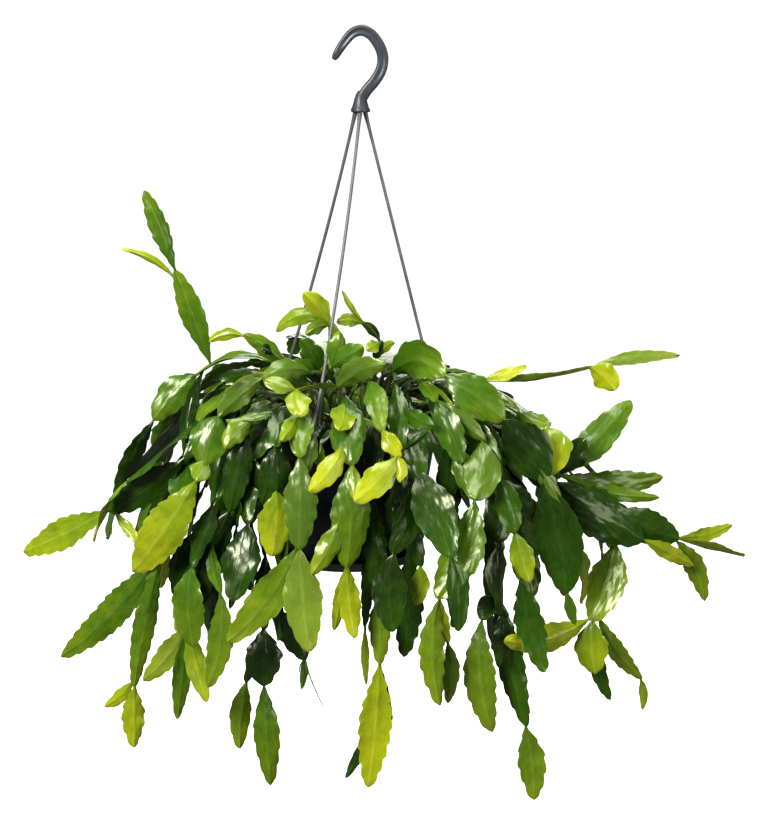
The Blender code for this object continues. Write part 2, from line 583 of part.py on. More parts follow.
def make_pot():
    """The pot: a tapered shell with a turned-down lip and drainage holes."""
    floor = POT_HEIGHT - FLOOR_THICKNESS
    outline = [
        (BASE_RADIUS - INSIDE_CORNER[0], -floor),
        (wall_radius(floor - INSIDE_CORNER[1]) - POT_WALL, INSIDE_CORNER[1] - floor),
        (wall_radius(LIP_DROP) - POT_WALL, -LIP_DROP), (RIM_RADIUS - LIP_WIDTH, 0.0), (RIM_RADIUS - LIP_ROUND, 0.0),
        (RIM_RADIUS, -LIP_ROUND), (RIM_RADIUS, -LIP_DROP), (wall_radius(LIP_DROP), -LIP_DROP),
        (wall_radius(POT_HEIGHT - OUTSIDE_CORNER[1]), OUTSIDE_CORNER[1] - POT_HEIGHT),
        (BASE_RADIUS - OUTSIDE_CORNER[0], -POT_HEIGHT),
    ]
    shell = turned_mesh("pot_shell", outline, TURN_SIDES, POT_CENTRE)
    cutters = []
    for n in range(DRAIN_COUNT):
        spoke = spoke_from_viewer(360.0 * n / DRAIN_COUNT)
        rings = []
        for depth in (POT_HEIGHT + CUT_BEYOND, floor - CUT_BEYOND):
            centre = POT_CENTRE + spoke * DRAIN_CIRCLE - UP * depth
            rings.append(round_ring(centre, Vector((1, 0, 0)), Vector((0, 1, 0)), DRAIN_RADIUS, DRAIN_SIDES))
        cutters.append(mesh_from_rings("drain_cutter", rings))
    pot = combine("pot", [shell] + cutters, "DIFFERENCE")
    return finish_part(pot, plastic("pot plastic", HOLDER_COLOURS["pot"], 0.35), 35)


def make_saucer():
    """The saucer: a shallow dish that the pot stands in, with pegs that snap through the pot's floor."""
    lift = -POT_HEIGHT - GAP
    bottom = lift - SAUCER_FLOOR
    brim = bottom + SAUCER_RISE
    outline = [
        (SAUCER_RADIUS - SAUCER_CORNER[0], bottom), (SAUCER_RADIUS, bottom + SAUCER_CORNER[1]),
        (SAUCER_RADIUS, brim), (SAUCER_RADIUS - SAUCER_WALL, brim),
        (SAUCER_RADIUS - SAUCER_WALL, bottom + SAUCER_INSIDE[1]), (SAUCER_RADIUS - SAUCER_INSIDE[0], lift),
    ]
    pieces = [turned_mesh("saucer_dish", outline, TURN_SIDES, POT_CENTRE)]
    head = -POT_HEIGHT + FLOOR_THICKNESS + GAP
    for n in range(0, DRAIN_COUNT, 2):
        centre = POT_CENTRE + spoke_from_viewer(360.0 * n / DRAIN_COUNT) * DRAIN_CIRCLE
        stages = [(PEG_RADIUS, lift - PEG_ROOT), (PEG_RADIUS, head), (PEG_HEAD_RADIUS, head),
                  (PEG_TIP_RADIUS, head + PEG_HEAD_HEIGHT)]
        pieces.append(turned_mesh("saucer_peg", stages, DRAIN_SIDES, centre))
    saucer = combine("saucer", pieces)
    return finish_part(saucer, plastic("saucer plastic", HOLDER_COLOURS["saucer"], 0.4), 35)


def make_soil(feet):
    """The soil: it fills the pot to below the rim, with a plain hole for each stem."""
    bottom = POT_HEIGHT - FLOOR_THICKNESS - SOIL_BOTTOM_GAP
    edge = wall_radius(SOIL_DROP) - POT_WALL - GAP
    base = wall_radius(bottom) - POT_WALL - GAP - SOIL_SETTLED
    outline = [(base, -bottom), (edge, -SOIL_DROP)]
    mound = turned_mesh("soil_mound", outline, TURN_SIDES, POT_CENTRE)
    cutters = []
    for foot in feet:
        rings = []
        for height in (-STEM_DEPTH - GAP, HOLE_TOP):
            rings.append(stem_ring(foot + UP * height, UP, STEM_RADIUS + HOLE_CLEARANCE))
        cutters.append(mesh_from_rings("hole_cutter", rings))
    soil = combine("soil", [mound] + cutters, "DIFFERENCE")
    return finish_part(soil, plastic("potting soil", HOLDER_COLOURS["soil"], 0.95), 50)


# Stems and segments


def stem_ring(centre, along, radius):
    """The section of a stem square to its run."""
    turn = UP.rotation_difference(along)
    return round_ring(centre, turn @ Vector((1, 0, 0)), turn @ Vector((0, 1, 0)), radius, STEM_SIDES)


class Stem:
    """The bare lower stem of a spray: upright in its hole, then bent over to the shoulder."""

    def __init__(self, foot, shoulder, arrival, rise):
        self.foot = foot
        self.start = foot + UP * STEM_COLLAR
        self.end = shoulder
        reach = (shoulder - self.start).length
        self.bends = (self.start + UP * reach * rise, shoulder - arrival * reach * STEM_ARRIVAL)

    def point(self, s):
        """A place on the stem's run, from the soil at 0 to the shoulder at 1."""
        a, b, c, d = self.start, self.bends[0], self.bends[1], self.end
        r = 1.0 - s
        return a * r ** 3 + b * 3 * r * r * s + c * 3 * r * s * s + d * s ** 3

    def seat(self, share, aim):
        """Where the first segment starts inside the stem, with no section of its own to follow."""
        run = (self.end - self.point(STEM_STATIONS[-2])).normalized()
        return self.end - run * SINK, None, run

    def rings(self, spare=0.0, first=0):
        """Its sections from the foot up, each larger all round by the spare."""
        points = [self.foot - UP * STEM_DEPTH] + [self.point(s) for s in STEM_STATIONS]
        last = len(points) - 1
        rows = [stem_ring(points[0], UP, STEM_RADIUS + spare)]
        for n in range(1, last + 1):
            before = (points[n] - points[n - 1]).normalized()
            after = (points[min(n + 1, last)] - points[min(n, last - 1)]).normalized()
            radius = STEM_RADIUS + (STEM_END_RADIUS - STEM_RADIUS) * n / last
            along = UP if n == 1 else (before + after).normalized()
            rows.append(stem_ring(points[n], along, radius + spare))
        return rows


class Blade:
    """One flat, notched stem segment on a bowed path, turned about its own length."""

    def __init__(self, seat, tip, width, facing, roll, bow, most=7):
        self.root, self.root_section, self.run = seat
        self.tip = tip
        self.width = width
        self.facing = facing
        self.roll = roll
        self.length = (tip - self.root).length
        aim = (tip - self.root).normalized()
        lead = (self.run - aim * self.run.dot(aim)) * max(0.0, self.run.dot(aim)) ** 0.5
        self.bend = (self.root + tip) / 2 + bow + lead * self.length * LEAD
        self.stations = min(most, 5 + (self.length > SHORT_SEGMENT) + (self.length > LONG_SEGMENT))

    def point(self, s):
        """A place on the segment's middle line, from its neck at 0 to its tip at 1."""
        r = 1.0 - s
        return self.root * r * r + self.bend * 2 * r * s + self.tip * s * s

    def heading(self, s):
        """Which way the middle line runs there."""
        return ((self.bend - self.root) * (1.0 - s) + (self.tip - self.bend) * s).normalized()

    def seat(self, share, aim):
        """Where the next segment starts inside this one, and the section that it starts with.

        One that leaves sideways starts nearer that side, so that neighbours don't cross.
        """
        s = max(LOWEST_SEAT, min(share, 1.0 - SINK / self.length))
        across, out = self.section(s)
        lean = across.dot(aim) * SIDE_ROOM
        span = self.stations - 1
        step = min(span - 1, int(s * span))
        low, high = self.point(step / span), self.point((step + 1) / span)
        middle = low.lerp(high, s * span - step)
        depth = self.thickness(s) * (0.5 - BELOW_PATH - abs(lean) / 2)
        return middle + across * lean * self.spread(s) + out * depth, (across, out), self.heading(s)

    def spread(self, s):
        """Half width without notches: a narrow neck, nearly straight flanks and a blunt tip."""
        if s < WIDEST_AT:
            full = 1.0 - (1.0 - s / WIDEST_AT) ** BASE_TAPER
        else:
            full = 1.0 - TIP_NARROWING * ((s - WIDEST_AT) / (1.0 - WIDEST_AT)) ** TIP_TAPER
        return max(NECK_WIDTH / 2, self.width / 2 * full)

    def thickness(self, s):
        """The whole thickness at the ridge: thin at the neck, thickest a quarter of the way along."""
        middle = SEGMENT_THICKNESS + THICKER_WITH_WIDTH * self.width
        if s < THICKEST_AT:
            return NECK_THICKNESS + (middle - NECK_THICKNESS) * s / THICKEST_AT
        return middle + (TIP_THICKNESS - middle) * (s - THICKEST_AT) / (1.0 - THICKEST_AT)

    def section(self, s):
        """The directions across and out of the segment at one place along it."""
        along = self.heading(s)
        across = along.cross(self.facing).normalized()
        out = across.cross(along)
        turn = math.radians(self.roll * (ROLL_AT_NECK + ROLL_GAIN * s))
        turned = across * math.cos(turn) + out * math.sin(turn)
        across, out = turned, out * math.cos(turn) - across * math.sin(turn)
        if s == 0.0 and self.root_section:
            parent_across, parent_out = self.root_section
            if min(parent_across.dot(across), parent_out.dot(out)) > IN_LINE:
                return self.root_section
        return across, out

    def rings(self, spare=0.0, first=0):
        """Its three-cornered sections, with a notch on each side by turns, larger by the spare."""
        rows = []
        last = self.stations - 1
        for k in range(first, self.stations):
            s = k / last
            centre = self.point(s)
            across, out = self.section(s)
            half = self.spread(s)
            odd_side = 1.0 if k % 2 or k in (0, last) else NOTCH
            even_side = 1.0 if k % 2 == 0 or k in (0, last) else NOTCH
            thick = self.thickness(s) + 2 * spare
            back = centre - out * thick * BELOW_PATH
            rows.append([back + across * (half * odd_side + spare), centre + out * thick * (1 - BELOW_PATH),
                         back - across * (half * even_side + spare)])
        return rows


def ring_tree(rings):
    """A search tree over a skin of rings, with its ends closed."""
    points = [point for ring in rings for point in ring]
    count = len(rings[0])
    faces = []
    for row in range(len(rings) - 1):
        for i in range(count):
            j = (i + 1) % count
            base = row * count
            faces.append((base + i, base + j, base + count + j))
            faces.append((base + i, base + count + j, base + count + i))
    top = (len(rings) - 1) * count
    for start in (0, top):
        for i in range(1, count - 1):
            faces.append((start, start + i, start + i + 1))
    return BVHTree.FromPolygons(points, faces)


class Thicket:
    """Everything that stands so far, so that what grows next can be bent clear of it."""

    def __init__(self):
        self.fixed = []
        self.soil = None
        self.grown = []

    def is_clear(self, owner, piece, parent, blade=True):
        """Whether a stem or segment keeps off the holder, other sprays and its own spray."""
        whole = ring_tree(piece.rings(CLEARANCE))
        for tree in self.fixed:
            if whole.overlap(tree):
                return False
        if blade and self.soil is not None and whole.overlap(self.soil):
            return False
        outer = ring_tree(piece.rings(CLEARANCE, 2)) if blade else whole
        middle = piece.point(0.5)
        reach = (piece.point(1.0) - piece.point(0.0)).length
        for other_owner, other, tree, other_middle, other_reach in self.grown:
            if (middle - other_middle).length > (reach + other_reach) * NEAR_SHARE + NEAR_MARGIN:
                continue
            if other_owner != owner:
                if whole.overlap(tree):
                    return False
            elif other is not parent and outer.overlap(tree):
                return False
        return True

    def add(self, owner, piece):
        """Take a stem or segment in, as one that later ones keep off."""
        reach = (piece.point(1.0) - piece.point(0.0)).length
        self.grown.append((owner, piece, ring_tree(piece.rings(0.0)), piece.point(0.5), reach))


class Spray:
    """One spray of the plant: its stem and its segments, in the order they grow."""

    def __init__(self, name):
        self.name = name
        self.stem = None
        self.blades = []


def free_feet(shoulder, feet):
    """Places in the soil for a spray's stem, the one under its shoulder first, clear of the others."""
    level = Vector((shoulder.x - POT_CENTRE.x, shoulder.y, 0.0))
    spoke = level.normalized()
    radius = min(level.length * FOOT_SHARE, FOOT_REACH)
    for turn in FOOT_TURNS:
        for step in range(FOOT_STEPS):
            distance = radius - step * FOOT_STEP
            if distance < FOOT_INNERMOST:
                break
            spot = POT_CENTRE + Quaternion(UP, math.radians(turn)) @ spoke * distance - UP * SOIL_DROP
            if all((spot - foot).length > STEM_SPACING for foot in feet):
                yield spot


def plant_stem(spray, shoulder, toward_point, thicket, feet):
    """Set a stem in the soil and bend it over to the shoulder, clear of everything so far."""
    arrival = (toward_point - shoulder).normalized()
    level = Vector((shoulder.x - POT_CENTRE.x, shoulder.y, 0.0)).normalized()
    for out, lift in SHOULDER_NUDGES:
        place = shoulder + level * out * MM + UP * lift * MM
        for foot in free_feet(place, feet):
            for rise in STEM_RISES:
                stem = Stem(foot, place, arrival, rise)
                if thicket.is_clear(spray.name, stem, None, blade=False):
                    feet.append(foot)
                    spray.stem = stem
                    thicket.add(spray.name, stem)
                    return
    raise ValueError(f"no room for the stem of {spray.name}")


def in_plan(across, toward):
    """Set a listed distance towards the viewer on a round plan: deep in the middle, back at the sides."""
    side = across / PLAN_HALF_WIDTH
    return toward * PLAN_REACH * math.sqrt(max(PLAN_LEAST, 1.0 - side * side)) - PLAN_FALL * side * side


def grow_front_blades(spray, rows, thicket):
    """Grow a spray's listed segments, each slid along the line of sight until it is clear."""
    placed = {-1: spray.stem}
    for index, (parent_index, share, across, down, toward, width, roll, rise) in enumerate(rows):
        parent = placed.get(parent_index)
        if parent is None:
            continue
        side = 1 if index % 2 else -1
        for trial in range(TRIAL_COUNT * len(ATTEMPT_SIZES)):
            step = (trial % TRIAL_COUNT + 1) // 2 * (1 if trial % 2 else -1)
            tip = seen_at(across * MM, down * MM, in_plan(across, toward) * MM + step * TRIAL_STEP)
            bow = UP * rise * MM
            seat = parent.seat(share, (tip - parent.point(1.0)).normalized())
            attempt = trial // TRIAL_COUNT
            keep, extra = ATTEMPT_TURNS[attempt]
            turn = keep * roll * side + extra
            breadth = width * MM * ATTEMPT_SIZES[attempt]
            blade = Blade(seat, tip, breadth, (VIEW_POINT - seat[0]).normalized(), turn, bow)
            if thicket.is_clear(spray.name, blade, parent):
                placed[index] = blade
                spray.blades.append(blade)
                thicket.add(spray.name, blade)
                break


def in_outline(point):
    """Whether a point shows within the plant's outline from the front."""
    across, down = as_seen(point)
    across /= MM
    down /= MM
    inside = TOP_LINE[0][0] < across < TOP_LINE[-1][0]
    return inside and line_height(TOP_LINE, across) < down < line_height(HEM_LINE, across)


def grow_back_blades(spray, parent, level, degrees, manner, draw, thicket):
    """Grow the segments that follow one another outward and down, forking on the way."""
    if level >= len(manner["pitches"]):
        return
    children = manner["children"][level]
    for child in range(children):
        fork = 0.0 if children == 1 else (child - (children - 1) / 2) * manner["fork"]
        for trial in range(BACK_TRIALS):
            loose = 1.0 + trial / LOOSENED_OVER
            heading = degrees + fork + draw.uniform(-HEADING_DRIFT, HEADING_DRIFT) * loose
            pitch = manner["pitches"][level] + draw.uniform(-PITCH_DRIFT, PITCH_DRIFT) * loose
            tilt = math.radians(max(PITCH_LIMITS[0], min(PITCH_LIMITS[1], pitch)))
            length = draw.uniform(*SEGMENT_LENGTHS) * (1.0 if trial < SHORTENED_AFTER else SHORTENING)
            width = length * draw.uniform(*SEGMENT_BROADNESS)
            roll = draw.uniform(-ROLL_DRIFT, ROLL_DRIFT)
            share = 1.0 if child == 0 else draw.uniform(*FORK_SHARES)
            aim = spoke_from_viewer(heading) * math.cos(tilt) + UP * math.sin(tilt)
            seat = parent.seat(share, aim)
            tip = seat[0] + aim * length
            outward = Vector((seat[0].x - POT_CENTRE.x, seat[0].y, 0.0)).normalized()
            facing = (outward + UP * FACE_UP).normalized()
            if abs(facing.dot(aim)) > FACE_TOO_NEAR_RUN:
                facing = (outward * STEEP_FACE_OUT + UP).normalized()
            bow = UP * length * UPWARD_BOW + outward * length * OUTWARD_BOW
            blade = Blade(seat, tip, width, facing, roll, bow, manner["stations"])
            if in_outline(tip) and thicket.is_clear(spray.name, blade, parent):
                spray.blades.append(blade)
                thicket.add(spray.name, blade)
                turned = degrees + fork * FORK_CARRIED
                grow_back_blades(spray, blade, level + 1, turned, manner, draw, thicket)
                break


def fused_spray(spray, colour):
    """Fuse a spray's stem and segments into one solid."""
    meshes = [mesh_from_rings(spray.name + "_stem", spray.stem.rings(), True)]
    for n, blade in enumerate(spray.blades):
        meshes.append(mesh_from_rings(f"{spray.name}_segment_{n}", blade.rings(), True))
    body = combine(spray.name, meshes)
    return finish_part(body, plastic(spray.name + " green", colour, 0.45), 25)


def back_places():
    """Where the rule sets its sprays: angle and manner, kept off the strands."""
    places = []
    for n in range(BACK_COUNT):
        degrees = BACK_FIRST + (BACK_LAST - BACK_FIRST) * n / (BACK_COUNT - 1)
        places.append((degrees, HANGING if n % 2 else ARCHING))
    for n in range(LOW_COUNT):
        places.append((LOW_FIRST + (LOW_LAST - LOW_FIRST) * n / (LOW_COUNT - 1), LOW))
    places += [(degrees, INNER) for degrees in INNER_PLACES]
    kept = []
    for degrees, manner in places:
        for _, turn, _ in STRANDS.values():
            off = (degrees - turn + 180.0) % 360.0 - 180.0
            if abs(off) < STRAND_ROOM:
                degrees += (STRAND_ROOM - abs(off)) * (1 if off > 0 else -1)
        kept.append((degrees, manner))
    return kept


def grow_plant(thicket):
    """Plant every stem first, then grow the segments from the front round to the back."""
    feet = []
    sprays = []
    for name, shoulder, rows in FRONT_SPRAYS:
        spray = Spray(name)
        across, down, toward = rows[0][2:5]
        aim = seen_at(across * MM, down * MM, in_plan(across, toward) * MM)
        plant_stem(spray, seen_at(*[value * MM for value in shoulder]), aim, thicket, feet)
        sprays.append((spray, rows, None))
    for n, (degrees, manner) in enumerate(back_places()):
        spray = Spray(f"spray_back_{n + 1:02d}")
        spoke = spoke_from_viewer(degrees)
        shoulder = POT_CENTRE + spoke * manner["radius"] * MM + UP * manner["height"] * MM
        aim = shoulder + spoke * AIM_REACH + UP * manner["aim"] * MM
        plant_stem(spray, shoulder, aim, thicket, feet)
        sprays.append((spray, None, (degrees, manner)))
    draw = random.Random(SEED)
    for spray, rows, rule in sprays:
        if rows:
            grow_front_blades(spray, rows, thicket)
        else:
            grow_back_blades(spray, spray.stem, 0, rule[0], rule[1], draw, thicket)
    return [spray for spray, rows, rule in sprays], feet


def build():
    """Make the holder, then the plant, then the soil that its stems stand in."""
    clear_scene()
    thicket = Thicket()
    holder = [make_hook(), make_pot(), make_saucer()]
    holder += [make_strand(name, *strand) for name, strand in STRANDS.items()]
    thicket.fixed = [tree_of(part.data) for part in holder]
    level = [(WALL_TOP_RADIUS - POT_WALL, -SOIL_DROP - CUT_BEYOND), (WALL_TOP_RADIUS - POT_WALL, -SOIL_DROP)]
    bare = turned_mesh("soil_level", level, TURN_SIDES, POT_CENTRE)
    thicket.soil = tree_of(bare)
    bpy.data.meshes.remove(bare)
    sprays, feet = grow_plant(thicket)
    make_soil(feet)
    for n, spray in enumerate(sprays):
        fused_spray(spray, SPRAY_COLOURS[n % len(SPRAY_COLOURS)])
    return sprays


build()
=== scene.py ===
"""A flat-stemmed rhipsalis in a hanging pot: its looks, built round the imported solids.

Metres, +Z up, +X to the right and -Y towards the viewer. The origin is the inner crown of the
hook. Places on the plant are given as they show from the front, in millimetres from the hook.
"""
import json
import math
import random

import bmesh
import bpy
import numpy as np
from mathutils import Matrix, Quaternion, Vector, noise
from mathutils.bvhtree import BVHTree

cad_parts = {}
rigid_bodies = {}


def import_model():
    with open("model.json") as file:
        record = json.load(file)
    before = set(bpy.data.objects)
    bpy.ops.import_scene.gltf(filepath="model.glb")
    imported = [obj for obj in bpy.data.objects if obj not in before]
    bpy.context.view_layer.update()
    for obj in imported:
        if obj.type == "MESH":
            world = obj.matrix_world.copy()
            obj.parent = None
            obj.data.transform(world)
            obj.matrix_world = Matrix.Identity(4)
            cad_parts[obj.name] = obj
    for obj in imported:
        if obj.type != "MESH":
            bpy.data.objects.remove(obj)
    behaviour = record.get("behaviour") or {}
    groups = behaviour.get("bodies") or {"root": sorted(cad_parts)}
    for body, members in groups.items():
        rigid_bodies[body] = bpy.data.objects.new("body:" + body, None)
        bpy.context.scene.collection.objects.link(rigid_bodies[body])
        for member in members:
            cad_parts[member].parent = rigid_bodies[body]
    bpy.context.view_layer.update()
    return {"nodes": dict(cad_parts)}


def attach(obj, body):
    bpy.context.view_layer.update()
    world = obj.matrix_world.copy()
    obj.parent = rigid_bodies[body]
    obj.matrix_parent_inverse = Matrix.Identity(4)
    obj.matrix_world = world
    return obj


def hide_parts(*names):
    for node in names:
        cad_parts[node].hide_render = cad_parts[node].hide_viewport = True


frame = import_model()

# The viewer: a camera at the photograph's angle, a little above the hook and looking down on the
# plant from 1.65 m. The frame's middle is 20.8 mm right of the hook and 330.9 mm below it.
MM = 0.001
UP = Vector((0.0, 0.0, 1.0))
VIEW_DROP = math.radians(12.5)
VIEW_DISTANCE = 1650.0 * MM
VIEW_AIM_ACROSS = 20.8 * MM
VIEW_AIM_DOWN = 330.9 * MM
VIEW_HEIGHT = 725.1 * MM
VIEW_FARTHEST = 60.0
VIEW_AHEAD = Vector((0.0, math.cos(VIEW_DROP), -math.sin(VIEW_DROP)))
VIEW_RIGHT = Vector((1.0, 0.0, 0.0))
VIEW_RISE = Vector((0.0, math.sin(VIEW_DROP), math.cos(VIEW_DROP)))
VIEW_POINT = VIEW_RIGHT * VIEW_AIM_ACROSS - VIEW_RISE * VIEW_AIM_DOWN - VIEW_AHEAD * VIEW_DISTANCE

camera_data = bpy.data.cameras.new("camera")
camera_data.sensor_fit = "VERTICAL"
camera_data.angle = 2.0 * math.atan(VIEW_HEIGHT / 2 / VIEW_DISTANCE)
camera_data.clip_end = VIEW_FARTHEST
camera = bpy.data.objects.new("camera", camera_data)
camera.location = VIEW_POINT
camera.rotation_euler = (math.pi / 2 - VIEW_DROP, 0.0, 0.0)
bpy.context.scene.collection.objects.link(camera)
bpy.context.scene.camera = camera

# The hook: one injection-moulded bar of dark polypropylene, bent over at the top and flared into
# a hub at its foot. Its flanks are soft-cornered and a shallow channel runs down each face.
HOOK_LINE = [(-23.6, -20.5), (-19.0, -12.5), (-13.6, -4.8), (-7.2, 2.2), (1.0, 5.0), (8.8, 1.8),
             (14.8, -5.2), (18.8, -13.4), (19.8, -22.0), (17.6, -30.8), (12.4, -39.2), (5.6, -47.0),
             (0.8, -54.5)]
HOOK_STEPS = 5
HOOK_SIDES = 32
HOOK_CORNER = 4
HOOK_HALF_THICK = 5.0 * MM
HOOK_TIP_HALF_THICK = 3.3 * MM
HOOK_HALF_DEEP = 4.2 * MM
HOOK_TIP_DEEP = 0.88
FULL_AFTER = 20.0
ROUNDED_OVER = 4.0
ROUNDED_TO = 0.45
CHANNEL_DEPTH = 0.9 * MM
CHANNEL_HALF = 0.34
# The channel starts and ends at these sections of the bar, and fades over so many.
CHANNEL_RUN = (5, 52)
CHANNEL_FADES = (4.0, 6.0)
HUB_OUTLINE = [(2.2, -47.4), (4.3, -51.0), (5.5, -54.6), (6.6, -58.6), (7.6, -61.9), (8.35, -63.2),
               (8.75, -64.6), (8.6, -65.7), (7.9, -66.2)]
HUB_SIDES = 48
HOOK_CREASE = 55.0
# Flow clouds in the plastic: their size, where they turn dark and pale, and how they change its gloss.
CLOUD_SIZE = 14.0 * MM
CLOUD_EDGES = (0.32, 0.68)
CLOUD_GLOSS = (-0.06, 0.08)
GRAIN_DEPTH = 0.1 * MM
POLYPROPYLENE_IOR = 1.49


def hex_colour(code):
    """A colour from its sRGB hex value, made linear."""
    values = [int(code[i:i + 2], 16) / 255.0 for i in (1, 3, 5)]
    linear = [v / 12.92 if v <= 0.04045 else ((v + 0.055) / 1.055) ** 2.4 for v in values]
    return (*linear, 1.0)


def fill_sockets(tree, node, sockets):
    """Link or set a node's sockets."""
    for key, value in sockets.items():
        if isinstance(value, bpy.types.NodeSocket):
            tree.links.new(value, node.inputs[key])
        else:
            node.inputs[key].default_value = value


def add_node(tree, kind, sockets=None, **settings):
    """Add a shader node with its settings, and fill its sockets."""
    node = tree.nodes.new(kind)
    for name, value in settings.items():
        setattr(node, name, value)
    fill_sockets(tree, node, sockets or {})
    return node


def ramp_of(node, stops):
    """Set a colour ramp's stops from (place, hex value) pairs and give its colour."""
    elements = node.color_ramp.elements
    while len(elements) < len(stops):
        elements.new(0.5)
    for element, (place, code) in zip(elements, stops):
        element.position = place
        element.color = hex_colour(code)
    return node.outputs["Color"]


def new_material(name):
    """A material with its shader, its tree and the tree's texture coordinates."""
    material = bpy.data.materials.new(name)
    material.use_nodes = True
    tree = material.node_tree
    place = add_node(tree, "ShaderNodeTexCoord").outputs["Object"]
    return material, tree, tree.nodes["Principled BSDF"], place


def moulded_plastic(name, colours, roughness, grain_mm, bump):
    """Polypropylene from a satin mould: an even colour with faint flow clouds and a fine skin."""
    material, tree, shader, place = new_material(name)
    clouds = add_node(tree, "ShaderNodeTexNoise", {"Vector": place, "Scale": 1 / CLOUD_SIZE, "Detail": 3.0})
    tones = add_node(tree, "ShaderNodeValToRGB", {"Fac": clouds.outputs["Fac"]})
    sheen = add_node(tree, "ShaderNodeMapRange", {"Value": clouds.outputs["Fac"],
                                                  "To Min": roughness + CLOUD_GLOSS[0],
                                                  "To Max": roughness + CLOUD_GLOSS[1]})
    grain = add_node(tree, "ShaderNodeTexNoise", {"Vector": place, "Scale": 1 / (grain_mm * MM),
                                                  "Detail": 2.0})
    relief = add_node(tree, "ShaderNodeBump", {"Height": grain.outputs["Fac"], "Strength": bump,
                                               "Distance": GRAIN_DEPTH})
    fill_sockets(tree, shader, {"Base Color": ramp_of(tones, list(zip(CLOUD_EDGES, colours))),
                                "Roughness": sheen.outputs["Result"], "Normal": relief.outputs["Normal"],
                                "IOR": POLYPROPYLENE_IOR})
    return material


def add_piece(name, mesh, material, nodes, crease):
    """Link a mesh as a piece that rides on the part and stands for CAD nodes."""
    mesh.shade_smooth()
    mesh.set_sharp_from_angle(angle=math.radians(crease))
    piece = bpy.data.objects.new(name, mesh)
    bpy.context.scene.collection.objects.link(piece)
    mesh.materials.clear()
    mesh.materials.append(material)
    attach(piece, "root")
    if nodes:
        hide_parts(*nodes)


def skin_rings(shape, rings):
    """Skin rings of equal count into a bmesh, with a flat cap at each end."""
    rows = [[shape.verts.new(point) for point in ring] for ring in rings]
    count = len(rows[0])
    for lower, upper in zip(rows, rows[1:]):
        for i in range(count):
            j = (i + 1) % count
            shape.faces.new((lower[i], lower[j], upper[j], upper[i]))
    shape.faces.new(list(reversed(rows[0])))
    shape.faces.new(rows[-1])


def turned(shape, outline, sides, centre):
    """Turn an outline of (radius, height) pairs in millimetres about the upright axis through centre."""
    rings = []
    for radius, height in outline:
        ring = []
        for n in range(sides):
            angle = 2.0 * math.pi * n / sides
            spot = Vector((radius * MM * math.cos(angle), radius * MM * math.sin(angle), height * MM))
            ring.append(centre + spot)
        rings.append(ring)
    skin_rings(shape, rings)


def mesh_of(name, shape):
    """Turn a finished bmesh into a mesh with its faces pointing out."""
    bmesh.ops.recalc_face_normals(shape, faces=shape.faces)
    mesh = bpy.data.meshes.new(name)
    shape.to_mesh(mesh)
    shape.free()
    return mesh


def smooth_line(points, steps):
    """Points on a smooth curve through the given ones."""
    padded = [points[0] * 2 - points[1]] + list(points) + [points[-1] * 2 - points[-2]]
    line = []
    for a, b, c, d in zip(padded, padded[1:], padded[2:], padded[3:]):
        for n in range(steps):
            t = n / steps
            line.append(0.5 * (b * 2 + (c - a) * t + (a * 2 - b * 5 + c * 4 - d) * t * t
                               + (b * 3 - a - c * 3 + d) * t ** 3))
    return line + [points[-1]]


def run_at(points, n):
    """The heading of a line at one of its points."""
    return (points[min(n + 1, len(points) - 1)] - points[max(n - 1, 0)]).normalized()


def soft_square(sides, corner, start):
    """Places round a square with soft corners: its cosine, its sine and how far it swells there."""
    places = []
    for n in range(sides):
        angle = 2.0 * math.pi * (n + start) / sides
        x, y = math.cos(angle), math.sin(angle)
        places.append((x, y, (x ** corner + y ** corner) ** (-1.0 / corner)))
    return places


def clamped(value):
    """A value kept between 0 and 1."""
    return min(1.0, max(0.0, value))


hook_line = smooth_line([Vector((x, 0.0, z)) * MM for x, z in HOOK_LINE], HOOK_STEPS)
deep_way = Vector((0.0, 1.0, 0.0))
hook_rings = []
for i, point in enumerate(hook_line):
    outward = run_at(hook_line, i).cross(deep_way)
    grow = clamped(i / FULL_AFTER)
    blunt = ROUNDED_TO + (1.0 - ROUNDED_TO) * math.sqrt(1.0 - (1.0 - clamped(i / ROUNDED_OVER)) ** 2)
    thick = (HOOK_TIP_HALF_THICK + (HOOK_HALF_THICK - HOOK_TIP_HALF_THICK) * grow) * blunt
    deep = HOOK_HALF_DEEP * (HOOK_TIP_DEEP + (1.0 - HOOK_TIP_DEEP) * grow) * blunt
    sunk = CHANNEL_DEPTH * clamped((i - CHANNEL_RUN[0]) / CHANNEL_FADES[0])
    sunk *= clamped((CHANNEL_RUN[1] - i) / CHANNEL_FADES[1])
    ring = []
    for x, y, swell in soft_square(HOOK_SIDES, HOOK_CORNER, 0.0):
        dip = math.copysign(sunk * math.exp(-(x / CHANNEL_HALF) ** 4), y)
        ring.append(point + outward * x * swell * thick + deep_way * (y * swell * deep - dip))
    hook_rings.append(ring)
hook_shape = bmesh.new()
skin_rings(hook_shape, hook_rings)
turned(hook_shape, HUB_OUTLINE, HUB_SIDES, Vector((0.0, 0.0, 0.0)))
hook_plastic = moulded_plastic("polypropylene_satin_slate", ("#2C3138", "#3C424B"), 0.36, 0.5, 0.35)
add_piece("hook_moulding", mesh_of("hook_moulding", hook_shape), hook_plastic, ["hook"],
          HOOK_CREASE)

